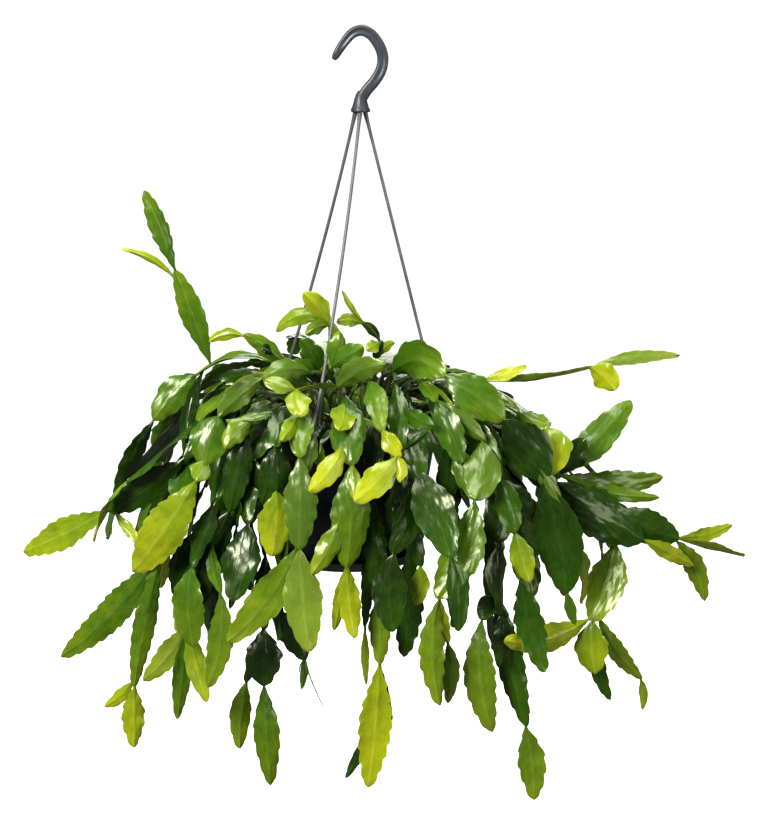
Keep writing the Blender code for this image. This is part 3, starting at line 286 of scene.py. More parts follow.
# The hanger strands: three thin rods of grey-black polypropylene, moulded in one with the hub and
# stretched, so that they are smooth and a little bowed. Each ends in a flat clip that is pressed
# over the pot's lip. A strand: its turn at the hub, its turn at the rim, and its inward bow in mm.
POT_CENTRE = Vector((-12.0 * MM, 0.0, -342.0 * MM))
RIM_RADIUS = 88.0 * MM
LIP_WIDTH = 6.5 * MM
STRANDS = {"strand_front": (-5.0, -20.5, 9.0), "strand_left": (-110.0, -125.5, 4.0),
           "strand_right": (125.0, 97.0, 0.0)}
STRAND_RADIUS = 1.45 * MM
STRAND_START = 5.0 * MM
STRAND_TOP = -66.5 * MM
STRAND_END = 1.6 * MM
STRAND_STEPS = 24
STRAND_SIDES = 20
# A flare at an end: how much thicker the rod is there, and how fast that dies away.
HUB_FLARE = (0.5, 1.6)
CLIP_FLARE = (0.6, 1.3)
CLIP_HALF_WIDTH = 4.5 * MM
CLIP_HALF_WALL = 0.95 * MM
CLIP_LINE = [(78.4, -6.6), (78.4, 1.3), (80.5, 1.6), (89.3, 1.6), (89.4, -10.2), (87.3, -10.3)]
CLIP_STEPS = 4
CLIP_SIDES = 16
CLIP_CORNER = 6
STRAND_CREASE = 60.0


def spoke_from_viewer(degrees):
    """A level direction, turned from the viewer's side towards the right."""
    angle = math.radians(degrees)
    return Vector((math.sin(angle), -math.cos(angle), 0.0))


def ring_round(centre, run, radius, sides, start=0.5):
    """A ring of points square to a run, the first of them this share of a step round it."""
    turn = UP.rotation_difference(run)
    first, second = turn @ Vector((1, 0, 0)), turn @ Vector((0, 1, 0))
    angles = [2.0 * math.pi * (n + start) / sides for n in range(sides)]
    return [centre + (first * math.cos(a) + second * math.sin(a)) * radius for a in angles]


def tube(shape, points, radii, sides):
    """A round tube along points, square to its run at each of them."""
    rings = [ring_round(point, run_at(points, n), radii[n], sides) for n, point in enumerate(points)]
    skin_rings(shape, rings)


strand_plastic = moulded_plastic("polypropylene_drawn_grey", ("#505156", "#68696E"), 0.34, 0.6, 0.2)
clip_line = smooth_line([Vector((r, 0.0, z)) * MM for r, z in CLIP_LINE], CLIP_STEPS)
for strand_name, (hub_turn, rim_turn, strand_bow) in STRANDS.items():
    spoke = spoke_from_viewer(rim_turn)
    side = UP.cross(spoke)
    start = spoke_from_viewer(hub_turn) * STRAND_START + UP * STRAND_TOP
    end = POT_CENTRE + spoke * (RIM_RADIUS - LIP_WIDTH / 2) + UP * STRAND_END
    strand_shape = bmesh.new()
    points = []
    radii = []
    for n in range(STRAND_STEPS + 1):
        share = n / STRAND_STEPS
        points.append(start.lerp(end, share) - spoke * strand_bow * MM * 4 * share * (1 - share))
        flare = HUB_FLARE[0] * math.exp(-n * HUB_FLARE[1])
        flare += CLIP_FLARE[0] * math.exp(-(STRAND_STEPS - n) * CLIP_FLARE[1])
        radii.append(STRAND_RADIUS * (1.0 + flare))
    tube(strand_shape, points, radii, STRAND_SIDES)
    clip_rings = []
    for n, point in enumerate(clip_line):
        run = run_at(clip_line, n)
        out = Vector((run.z, 0.0, -run.x))
        ring = []
        for x, y, swell in soft_square(CLIP_SIDES, CLIP_CORNER, 0.5):
            place = point + out * y * swell * CLIP_HALF_WALL
            ring.append(POT_CENTRE + spoke * place.x + UP * place.z + side * x * swell * CLIP_HALF_WIDTH)
        clip_rings.append(ring)
    skin_rings(strand_shape, clip_rings)
    add_piece(strand_name + "_rod", mesh_of(strand_name, strand_shape), strand_plastic,
              [strand_name], STRAND_CREASE)

# The pot: a thin injection-moulded shell of near-black polypropylene with a turned-down lip. Its
# wall is smooth and glossy, with a blue cast, and faint moulding rings run round it.
POT_OUTLINE = [(57.0, -129.6), (59.4, -129.0), (61.2, -127.4), (61.8, -125.0), (71.0, -65.0),
               (80.2, -11.0), (81.0, -8.0), (81.2, -1.4), (81.7, -0.4), (82.6, 0.0), (86.4, 0.0),
               (87.5, -0.5), (88.0, -1.6), (88.0, -8.4), (87.7, -9.0), (86.6, -9.0), (83.2, -9.0),
               (82.6, -9.6), (82.3, -10.6), (79.5, -27.0), (79.2, -27.4), (79.0, -28.2), (73.0, -64.6),
               (66.4, -105.0), (66.1, -105.4), (65.9, -106.2), (63.6, -120.4), (63.3, -122.4),
               (63.0, -124.6), (62.2, -126.6), (60.4, -127.7), (58.6, -128.0)]
POT_SIDES = 112
POT_CREASE = 50.0
pot_shape = bmesh.new()
turned(pot_shape, POT_OUTLINE, POT_SIDES, POT_CENTRE)
pot_plastic = moulded_plastic("polypropylene_gloss_black", ("#0B0C15", "#11131F"), 0.27, 1.2, 0.12)
add_piece("pot_shell", mesh_of("pot_shell", pot_shape), pot_plastic, ["pot"], POT_CREASE)

# The saucer: a shallow moulded dish that snaps on under the pot by pegs. It is the same plastic,
# painted mid-grey all over as a painted reflection: the grey sheen that its rounded lower edge shows.
SAUCER_FOOT = [(65.0, -130.3), (67.0, -129.9), (69.0, -128.6), (70.0, -126.0), (70.0, -121.8),
               (68.2, -121.8), (68.2, -128.3), (65.0, -128.3)]
saucer_shape = bmesh.new()
turned(saucer_shape, SAUCER_FOOT, POT_SIDES, POT_CENTRE)
saucer_reflection_grey = moulded_plastic("polypropylene_painted_reflection_grey", ("#34343A", "#46464D"), 0.34, 0.9, 0.2)
add_piece("saucer_dish", mesh_of("saucer_dish", saucer_shape), saucer_reflection_grey, ["saucer"],
          POT_CREASE)

# The potting mix: dark peat with shreds of bark and coir and a few white grains of perlite. It is
# filled to just under the rim, and its top is loose and uneven.
SOIL_TOP = -13.0 * MM
SOIL_RADIUS = 79.4 * MM
SOIL_SHOULDER = 3.0 * MM
SOIL_BASE_RADIUS = 62.0 * MM
SOIL_BASE = -124.0 * MM
SOIL_RINGS = 26
SOIL_RINGS_TO_MIDDLE = 26.6
SOIL_SIDES = 120
LUMP = 5.0 * MM
GRIT = 2.2 * MM
GRIT_SHARE = 0.6
CRUMB_HEIGHT = 2.2 * MM
CRUMB_COUNT = 420
CRUMB_SEED = 7
CRUMB_SPREAD = 0.93
CRUMB_SIZES = (0.8, 2.6)
CRUMB_LENGTHS = (1.0, 1.0, 1.6, 2.8)
CRUMB_FLATNESS = 0.6
CRUMB_CHIPPING = (0.6, 1.1)
CRUMB_SUNK = 0.4 * MM
BOX_SIDES = ((0, 1, 3, 2), (4, 6, 7, 5), (0, 4, 5, 1), (2, 3, 7, 6), (0, 2, 6, 4), (1, 5, 7, 3))
SOIL_CREASE = 30.0
PEAT_GRAIN = 2.4 * MM
soil_shape = bmesh.new()
soil_rings = [(SOIL_BASE_RADIUS, SOIL_BASE, 0.0), (SOIL_RADIUS, SOIL_TOP - SOIL_SHOULDER, 0.0)]
for n in range(SOIL_RINGS):
    soil_rings.append((SOIL_RADIUS * (1.0 - (n + 0.5) / SOIL_RINGS_TO_MIDDLE), SOIL_TOP, 1.0))
rings = []
for radius, height, rough in soil_rings:
    ring = []
    for n in range(SOIL_SIDES):
        angle = 2.0 * math.pi * n / SOIL_SIDES
        spot = Vector((radius * math.cos(angle), radius * math.sin(angle), height))
        lift = noise.noise(spot / LUMP) + GRIT_SHARE * noise.noise(spot / GRIT)
        ring.append(POT_CENTRE + spot + UP * (lift - 1.0) * CRUMB_HEIGHT * 0.5 * rough)
    rings.append(ring)
skin_rings(soil_shape, rings)
crumbs = random.Random(CRUMB_SEED)
for n in range(CRUMB_COUNT):
    angle = crumbs.uniform(0, 2 * math.pi)
    radius = SOIL_RADIUS * math.sqrt(crumbs.uniform(0.0, CRUMB_SPREAD))
    size = crumbs.uniform(*CRUMB_SIZES) * MM
    long = crumbs.choice(CRUMB_LENGTHS)
    turn = Quaternion(UP, crumbs.uniform(0, math.pi))
    spot = POT_CENTRE + Vector((radius * math.cos(angle), radius * math.sin(angle), SOIL_TOP - CRUMB_SUNK))
    corners = []
    for x in (-1, 1):
        for y in (-1, 1):
            for z in (-1, 1):
                chipped = size * 0.5 * crumbs.uniform(*CRUMB_CHIPPING)
                corner = Vector((x * long, y, z * CRUMB_FLATNESS)) * chipped
                corners.append(soil_shape.verts.new(spot + turn @ corner))
    for box_side in BOX_SIDES:
        soil_shape.faces.new([corners[k] for k in box_side])
potting_mix, tree, shader, place = new_material("potting_mix_peat")
crumb = add_node(tree, "ShaderNodeTexVoronoi", {"Vector": place, "Scale": 1 / PEAT_GRAIN})
tones = add_node(tree, "ShaderNodeValToRGB", {"Fac": crumb.outputs["Color"]})
peat = ramp_of(tones, [(0.0, "#140D08"), (0.55, "#2E1F14"), (0.86, "#4A3420"), (0.95, "#B9B2A2")])
relief = add_node(tree, "ShaderNodeBump", {"Height": crumb.outputs["Distance"], "Strength": 0.6,
                                           "Distance": 0.8 * MM})
fill_sockets(tree, shader, {"Base Color": peat, "Normal": relief.outputs["Normal"], "Roughness": 0.92})
add_piece("potting_mix_fill", mesh_of("potting_mix_fill", soil_shape), potting_mix,
          ["soil"], SOIL_CREASE)

# The plant: bare woody stems that stand in the soil and hand over, near the rim, to chains of flat
# green segments. Each segment grows from the tip or a notch of an older one: a narrow neck, a raised
# midrib, shallow scalloped edges and a blunt tip, with a waxy skin. Old ones are dark, young ones lime.
STEM_SIDES = 3
STEM_RADIUS = 1.9 * MM
STEM_END_RADIUS = 2.1 * MM
STEM_DEPTH = 12.0 * MM
STEM_UPRIGHT = 2.0 * MM
STEM_STATIONS = (0.0, 0.5, 1.0)
STEM_RISES = (0.55, 0.75, 0.4, 0.95, 0.25, 1.2)
STEM_ARRIVAL = 0.35
SHOULDER_NUDGES = ((0, 0), (0, 5), (5, 0), (-5, 0), (0, -5), (6, 9), (-9, 4), (10, -4), (-4, 14), (12, 14))
STEM_SPACING = 7.5 * MM
FOOT_SHARE = 0.8
FOOT_REACH = 66.0 * MM
FOOT_INNERMOST = 4.0 * MM
FOOT_STEP = 6.0 * MM
FOOT_STEPS = 8
FOOT_TURNS = (0, 7, -7, 14, -14, 21, -21, 30, -30, 40, -40)
SINK = 2.0 * MM
NECK_WIDTH = 2.6 * MM
NECK_THICKNESS = 1.2 * MM
TIP_THICKNESS = 2.2 * MM
BELOW_PATH = 0.35
LEAD = 0.28
SIDE_ROOM = 0.55
LOWEST_SEAT = 0.05
IN_LINE = 0.8
SEGMENT_THICKNESS = 1.5 * MM
THICKER_WITH_WIDTH = 0.04
THICKEST_AT = 0.25
ROLL_AT_NECK = 0.8
ROLL_GAIN = 0.4
NOTCH = 0.82
WIDEST_AT = 0.48
BASE_TAPER = 1.45
TIP_TAPER = 1.9
TIP_NARROWING = 0.70
TRIAL_STEP = 5.0 * MM
TRIAL_COUNT = 21
ATTEMPT_SIZES = (1.0, 0.9, 0.7)
ATTEMPT_TURNS = ((1, 0), (-1, 18), (1, -25))
LEAST_STATIONS = 5
MOST_STATIONS = 7
SHORT_SEGMENT = 88.0 * MM
LONG_SEGMENT = 120.0 * MM
SEED = 9
PLAN_REACH = 1.28
PLAN_HALF_WIDTH = 335.0
PLAN_FALL = 42.0
PLAN_LEAST = 0.05

# Each spray seen from the front: its name, the shoulder where its stem hands over, the tones of its
# segments in order, and its segments. A segment: the one it grows from (-1 is the stem), how far
# along that one, its tip across, down and toward, its width, its roll in degrees, and its upward bow.
FRONT_SPRAYS = [
    ("spray_left_upright", (-75, 287, 12), "MMMLMDD", [
        (-1, 1.0, -145, 299, 20, 22, 72, 12), (0, 0.8, -163, 206, 22, 24, 15, 4),
        (1, 1.0, -190, 136, 24, 19, 10, 4), (1, 0.9, -210, 188, 30, 8, 20, 3),
        (0, 1.0, -182, 338, 30, 31, 10, 7), (4, 1.0, -216, 405, 34, 20, 30, 4),
        (0, 0.9, -150, 377, 40, 19, 20, 3)]),
    ("spray_left_arch", (-62, 296, 46), "MLD", [
        (-1, 1.0, -103, 263, 52, 18, 20, 5), (0, 1.0, -133, 269, 54, 12, 10, 5),
        (0, 0.4, -87, 277, 62, 11, 10, 2)]),
    ("spray_left_shoulder", (-43, 296, 62), "OOMNLP", [
        (-1, 1.0, -87, 302, 80, 21, 20, 5), (0, 1.0, -125, 335, 100, 22, 15, 5),
        (1, 1.0, -137, 378, 112, 36, 5, 4), (2, 0.9, -144, 392, 122, 20, 10, 1),
        (3, 1.0, -200, 471, 118, 40, 10, 5), (0, 0.8, -119, 313, 88, 14, 60, 3)]),
    ("spray_left_far", (-92, 316, 40), "DDLL", [
        (-1, 1.0, -155, 374, 72, 25, 10, 9), (0, 1.0, -222, 418, 84, 31, 10, 6),
        (1, 1.0, -296, 454, 88, 31, 20, -2), (1, 0.95, -192, 450, 96, 11, 0, 1)]),
    ("spray_left_long", (-78, 322, 70), "ODDDDLPMLMNDD", [
        (-1, 1.0, -99, 348, 92, 18, 10, 3), (0, 1.0, -115, 419, 106, 25, 5, 4),
        (1, 1.0, -146, 434, 98, 18, 10, 3), (1, 1.0, -132, 449, 114, 14, 20, 2),
        (3, 1.0, -152, 520, 110, 29, 5, 4), (4, 0.75, -162, 524, 118, 13, 10, 1),
        (4, 1.0, -191, 567, 106, 23, 10, 3), (4, 1.0, -161, 601, 112, 19, 15, 3),
        (4, 1.0, -135, 586, 120, 20, 10, 3), (3, 1.0, -122, 490, 122, 13, 10, 2),
        (9, 1.0, -134, 573, 126, 24, 5, 3), (2, 1.0, -158, 500, 94, 26, 10, 3),
        (1, 1.0, -140, 490, 92, 24, 10, 3)]),
    ("spray_left_low", (-86, 322, 22), "DDMMYY", [
        (-1, 1.0, -137, 369, 46, 22, 20, 8), (0, 1.0, -176, 457, 62, 25, 15, 6),
        (1, 1.0, -263, 546, 62, 31, 10, 6), (1, 1.0, -199, 573, 78, 22, 5, -3),
        (3, 0.95, -225, 590, 80, 14, 10, 2), (3, 1.0, -199, 626, 82, 23, 5, 2)]),
    ("spray_left_inner", (-66, 336, 60), "DDBD", [
        (-1, 1.0, -87, 382, 76, 18, 20, 4), (0, 1.0, -96, 430, 82, 18, 10, 3),
        (1, 1.0, -115, 504, 84, 14, 15, 3), (1, 1.0, -97, 488, 92, 19, 10, 3)]),
    ("spray_front_left", (-62, 325, 84), "DDDLON", [
        (-1, 1.0, -75, 362, 104, 22, 5, 3), (0, 1.0, -73, 401, 110, 27, 5, 2),
        (0, 1.0, -86, 412, 100, 18, 10, 2), (1, 1.0, -78, 458, 114, 33, 5, 3),
        (0, 0.3, -118, 339, 100, 14, 60, 4), (4, 0.5, -119, 363, 112, 21, 5, 3)]),
    ("spray_front_mid", (-50, 326, 90), "MLONP", [
        (-1, 1.0, -53, 371, 112, 25, 5, 3), (0, 0.2, -69, 356, 116, 16, 5, 1),
        (0, 1.0, -54, 452, 120, 31, 5, 3), (2, 1.0, -117, 533, 124, 32, 5, 5),
        (2, 1.0, -45, 542, 130, 35, 5, 4)]),
    ("spray_under_left", (-78, 334, 50), "DDDDDDDNMM", [
        (-1, 1.0, -86, 400, 62, 15, 20, 4), (0, 1.0, -84, 458, 68, 13, 10, 3),
        (1, 1.0, -68, 508, 62, 9, 10, 2), (2, 1.0, -48, 549, 62, 27, 5, 3),
        (1, 1.0, -85, 523, 74, 20, 5, 3), (4, 1.0, -101, 569, 78, 16, 15, 2),
        (4, 1.0, -85, 572, 84, 35, 5, 2), (5, 1.0, -106, 627, 80, 21, 10, 3),
        (6, 1.0, -79, 659, 88, 25, 5, 4), (3, 0.95, -52, 575, 66, 8, 5, 1)]),
    ("spray_front_hang", (-14, 315, 84), "CMPLYNYL", [
        (-1, 1.0, -7, 378, 108, 31, 5, 4), (0, 1.0, -12, 468, 114, 35, 5, 5),
        (0, 1.0, -3, 411, 122, 13, 5, 1), (1, 1.0, -23, 523, 112, 14, 10, 3),
        (1, 1.0, -5, 530, 120, 21, 5, 3), (1, 0.55, -43, 474, 122, 20, 5, 3),
        (0, 0.75, -45, 401, 118, 21, 5, 2), (0, 0.15, -19, 347, 104, 24, 5, 2)]),
    ("spray_front_cross", (7, 303, 86), "MYYYD", [
        (-1, 1.0, 19, 348, 110, 21, 5, 4), (0, 1.0, 36, 370, 118, 17, 5, 1),
        (1, 1.0, -5, 410, 136, 26, 5, 3), (1, 1.0, 35, 393, 124, 12, 5, 1),
        (1, 0.9, 60, 347, 124, 7, 10, 3)]),
    ("spray_front_olive", (31, 304, 84), "CDLC", [
        (-1, 1.0, 33, 373, 104, 21, 15, 4), (0, 1.0, 54, 467, 114, 25, 5, 5),
        (1, 1.0, 49, 501, 116, 18, 10, 1), (0, 0.4, 65, 343, 108, 17, 5, 2)]),
    ("spray_front_dark", (43, 312, 60), "DDDDD", [
        (-1, 1.0, 38, 386, 82, 21, 10, 5), (0, 1.0, 24, 448, 88, 22, 10, 3),
        (0, 1.0, 44, 450, 92, 25, 10, 3), (1, 1.0, 28, 514, 86, 24, 10, 3),
        (2, 1.0, 38, 546, 88, 28, 10, 4)]),
    ("spray_front_tail", (14, 317, 72), "DDNYMDLD", [
        (-1, 1.0, 11, 408, 98, 20, 10, 6), (0, 1.0, 16, 492, 102, 23, 5, 4),
        (1, 1.0, 17, 553, 106, 21, 10, 3), (2, 1.0, 7, 661, 110, 31, 5, 5),
        (2, 1.0, 28, 602, 100, 9, 10, 2), (0, 1.0, 4, 521, 94, 14, 10, 4), (5, 1.0, 5, 571, 92, 8, 10, 1),
        (3, 0.6, -13, 653, 110, 10, 10, 1)]),
    ("spray_right_front", (57, 309, 76), "DMMNLMD", [
        (-1, 1.0, 83, 360, 98, 22, 10, 5), (0, 1.0, 103, 409, 118, 23, 5, 3),
        (1, 1.0, 67, 495, 130, 38, 10, 5), (2, 1.0, 70, 589, 134, 24, 5, 5),
        (2, 1.0, 78, 534, 124, 16, 5, 2), (4, 1.0, 77, 587, 120, 17, 10, 2),
        (0, 0.85, 68, 425, 88, 21, 10, 3)]),
    ("spray_right_olive", (50, 303, 70), "MCOOP", [
        (-1, 1.0, 67, 322, 88, 15, 10, 3), (0, 1.0, 89, 376, 110, 26, 5, 4),
        (0, 1.0, 110, 356, 108, 19, 10, 5), (2, 1.0, 101, 408, 126, 34, 5, 2),
        (0, 0.2, 81, 324, 102, 16, 65, 3)]),
    ("spray_right_arch", (28, 296, 58), "MMDODM", [
        (-1, 1.0, 74, 300, 82, 37, 10, 18), (0, 1.0, 127, 338, 98, 37, 10, 9),
        (1, 1.0, 162, 391, 110, 44, 5, 3), (2, 0.75, 176, 412, 116, 15, 5, 2),
        (2, 1.0, 181, 490, 120, 44, 5, 2), (4, 1.0, 189, 518, 120, 11, 5, 1)]),
    ("spray_right_flat", (70, 306, 20), "MYPPY", [
        (-1, 1.0, 108, 304, 22, 15, 40, 4), (0, 1.0, 146, 290, 26, 14, 30, 3),
        (0, 1.0, 203, 291, 12, 18, 70, 5), (2, 1.0, 281, 281, 4, 14, 20, 4),
        (2, 1.0, 224, 312, 20, 27, 5, 2)]),
    ("spray_right_fold", (97, 320, 42), "MML", [
        (-1, 1.0, 140, 332, 62, 18, 10, 6), (0, 1.0, 167, 343, 86, 23, 30, -2),
        (1, 1.0, 165, 387, 108, 39, 5, 8)]),
    ("spray_right_star", (105, 328, 18), "DDDMMM", [
        (-1, 1.0, 140, 354, 40, 21, 10, 5), (0, 1.0, 176, 389, 60, 23, 10, 4),
        (1, 1.0, 198, 355, 62, 26, 5, 3), (1, 1.0, 238, 321, 50, 31, 10, -5),
        (1, 1.0, 266, 388, 62, 25, 10, 4), (1, 1.0, 263, 406, 78, 15, 5, 3)]),
    ("spray_right_far", (116, 342, 50), "DDCLLYN", [
        (-1, 1.0, 172, 394, 86, 28, 10, 6), (0, 1.0, 249, 444, 104, 46, 10, 7),
        (1, 0.55, 280, 443, 96, 34, 10, 5), (2, 1.0, 327, 430, 96, 14, 10, 2),
        (2, 1.0, 338, 457, 92, 18, 68, 2), (1, 1.0, 293, 466, 108, 16, 10, 2),
        (2, 1.0, 303, 497, 98, 21, 5, 3)]),
    ("spray_right_skirt", (122, 356, 30), "DDNYLNLC", [
        (-1, 1.0, 176, 408, 66, 23, 10, 6), (0, 1.0, 227, 444, 88, 25, 10, 4),
        (1, 1.0, 203, 515, 104, 37, 10, 4), (2, 1.0, 127, 532, 120, 27, 10, 0),
        (2, 1.0, 207, 561, 112, 32, 5, 2), (2, 0.9, 248, 565, 100, 18, 10, 3),
        (5, 1.0, 248, 593, 100, 9, 5, 1), (2, 1.0, 220, 584, 98, 17, 10, 3)]),
    ("spray_right_mid", (82, 332, 80), "CCLMCD", [
        (-1, 1.0, 123, 389, 112, 23, 10, 5), (0, 1.0, 136, 438, 120, 25, 10, 2),
        (1, 1.0, 149, 481, 128, 22, 5, 2), (1, 1.0, 140, 479, 116, 15, 10, 2),
        (3, 1.0, 162, 560, 122, 28, 5, 4), (0, 1.0, 162, 428, 98, 22, 10, 3)]),
    ("spray_right_tail", (79, 341, 50), "DDCNCN", [
        (-1, 1.0, 112, 404, 84, 21, 10, 5), (0, 1.0, 120, 489, 98, 21, 10, 4),
        (1, 1.0, 105, 513, 106, 21, 10, 1), (2, 1.0, 116, 612, 112, 30, 5, 5),
        (1, 1.0, 146, 608, 104, 27, 10, 5), (4, 1.0, 153, 672, 108, 27, 5, 3)]),
    ("spray_crown_left", (-20, 273, 18), "NLNN", [
        (-1, 1.0, -27, 252, 20, 12, 10, 1), (0, 1.0, -50, 226, 25, 21, 10, 2),
        (0, 1.0, -74, 260, 30, 18, 20, 17), (0, 0.9, -48, 263, 34, 14, 10, 2)]),
    ("spray_crown_top", (13, 286, 0), "DDNLLN", [
        (-1, 1.0, 19, 268, 5, 11, 10, 1), (0, 1.0, 1, 252, 8, 10, 10, 1), (1, 1.0, -21, 252, 10, 14, 10, 3),
        (1, 1.0, -16, 224, 8, 6, 10, 2), (0, 0.9, 6, 277, 16, 14, 10, 1), (0, 0.3, 30, 270, 8, 10, 10, 2)]),
    ("spray_crown_front", (-34, 307, 40), "MMMCC", [
        (-1, 1.0, -25, 291, 50, 15, 10, 2), (0, 1.0, 3, 274, 56, 22, 10, 3),
        (0, 1.0, -18, 260, 44, 18, 10, 2), (0, 0.4, -53, 267, 40, 22, 10, 3),
        (0, 0.2, -63, 289, 55, 18, 20, 3)]),
    ("spray_crown_cross", (-22, 312, 64), "OPPL", [
        (-1, 1.0, 22, 289, 74, 25, 10, 5), (0, 0.1, -57, 312, 80, 14, 68, 3),
        (1, 1.0, -85, 303, 82, 16, 20, 3), (1, 1.0, -50, 335, 98, 24, 5, 3)]),
]

# The sprays at the sides and back: the same plant, grown on round the pot. They are set out by rule,
# as the solids are: arching and hanging ones by turns, low ones over the soil, and inner ones that
# hang in the shade between the front sprays and the pot. Their places are degrees from the viewer's
# side, towards the right. A manner gives, level by level, the pitch of a segment and how many there are.
BACK_COUNT = 12
BACK_FIRST = 64.0
BACK_LAST = 296.0
LOW_COUNT = 6
LOW_FIRST = 66.0
LOW_LAST = 286.0
INNER_PLACES = (-64.0, -50.0, -36.0, 28.0, 44.0, 60.0)
STRAND_ROOM = 9.0
LONG_TONES = ("DCDB", "CMDC", "MCNM", "NLMN")
ARCHING = {"radius": 60.0, "height": 26.0, "aim": 20.0, "pitches": (8.0, -18.0, -46.0, -66.0),
           "children": (1, 2, 1, 1), "fork": 46.0, "stations": 5, "tones": LONG_TONES}
HANGING = {"radius": 94.0, "height": 14.0, "aim": -10.0, "pitches": (-5.0, -52.0, -74.0, -82.0),
           "children": (1, 2, 1, 1), "fork": 46.0, "stations": 5, "tones": LONG_TONES}
LOW = {"radius": 36.0, "height": 26.0, "aim": 25.0, "pitches": (22.0, -12.0), "children": (1, 2),
       "fork": 50.0, "stations": 4, "tones": ("DCM", "CMNC")}
INNER = {"radius": 91.0, "height": 16.0, "aim": -12.0, "pitches": (-32.0, -62.0, -80.0, -84.0),
         "children": (1, 3, 1, 1), "fork": 58.0, "stations": 4, "tones": ("BDC", "DBD", "BDDC", "DDCM")}
FORK_CARRIED = 0.6
FORK_SHARES = (0.8, 1.0)
AIM_REACH = 60.0 * MM
BACK_TRIALS = 26
LOOSENED_OVER = 12
HEADING_DRIFT = 16.0
PITCH_DRIFT = 12.0
PITCH_LIMITS = (-88.0, 70.0)
ROLL_DRIFT = 38.0
SHORTENED_AFTER = 14
SHORTENING = 0.75
FACE_RISE = 0.9
FACE_TOO_NEAR_RUN = 0.92
STEEP_FACE_OUT = 0.3
UPWARD_BOW = 0.09
OUTWARD_BOW = 0.04
SEGMENT_LENGTHS = (60.0 * MM, 86.0 * MM)
SEGMENT_BROADNESS = (0.39, 0.52)
ON_SURFACE = 0.06 * MM
ENOUGH_ON_SURFACE = 0.7


def seen_at(across, down, toward):
    """The point that shows at these distances from the hook, and lies this far towards the viewer."""
    target = VIEW_RIGHT * across - VIEW_RISE * down
    reach = (-toward - VIEW_POINT.y) / (target.y - VIEW_POINT.y)
    return VIEW_POINT + (target - VIEW_POINT) * reach


def in_plan(across, toward):
    """Set a listed distance towards the viewer on a round plan: deep in the middle, back at the sides."""
    side = across / PLAN_HALF_WIDTH
    return toward * PLAN_REACH * math.sqrt(max(PLAN_LEAST, 1.0 - side * side)) - PLAN_FALL * side * side


class Stem:
    """The bare lower stem of a spray: upright in its hole, then bent over to the shoulder."""

    def __init__(self, foot, shoulder, arrival, rise):
        self.foot = foot
        self.start = foot + UP * STEM_UPRIGHT
        self.end = shoulder
        reach = (shoulder - self.start).length
        self.bends = (self.start + UP * reach * rise, shoulder - arrival * reach * STEM_ARRIVAL)

    def point(self, s):
        a, b, c, d = self.start, self.bends[0], self.bends[1], self.end
        r = 1.0 - s
        return a * r ** 3 + b * 3 * r * r * s + c * 3 * r * s * s + d * s ** 3

    def seat(self, share, aim):
        run = (self.end - self.point(STEM_STATIONS[-2])).normalized()
        return self.end - run * SINK, None, run

    def rings(self):
        points = [self.foot - UP * STEM_DEPTH] + [self.point(s) for s in STEM_STATIONS]
        last = len(points) - 1
        rows = [ring_round(points[0], UP, STEM_RADIUS, STEM_SIDES)]
        for n in range(1, last + 1):
            before = (points[n] - points[n - 1]).normalized()
            after = (points[min(n + 1, last)] - points[min(n, last - 1)]).normalized()
            radius = STEM_RADIUS + (STEM_END_RADIUS - STEM_RADIUS) * n / last
            run = UP if n == 1 else (before + after).normalized()
            rows.append(ring_round(points[n], run, radius, STEM_SIDES))
        return rows


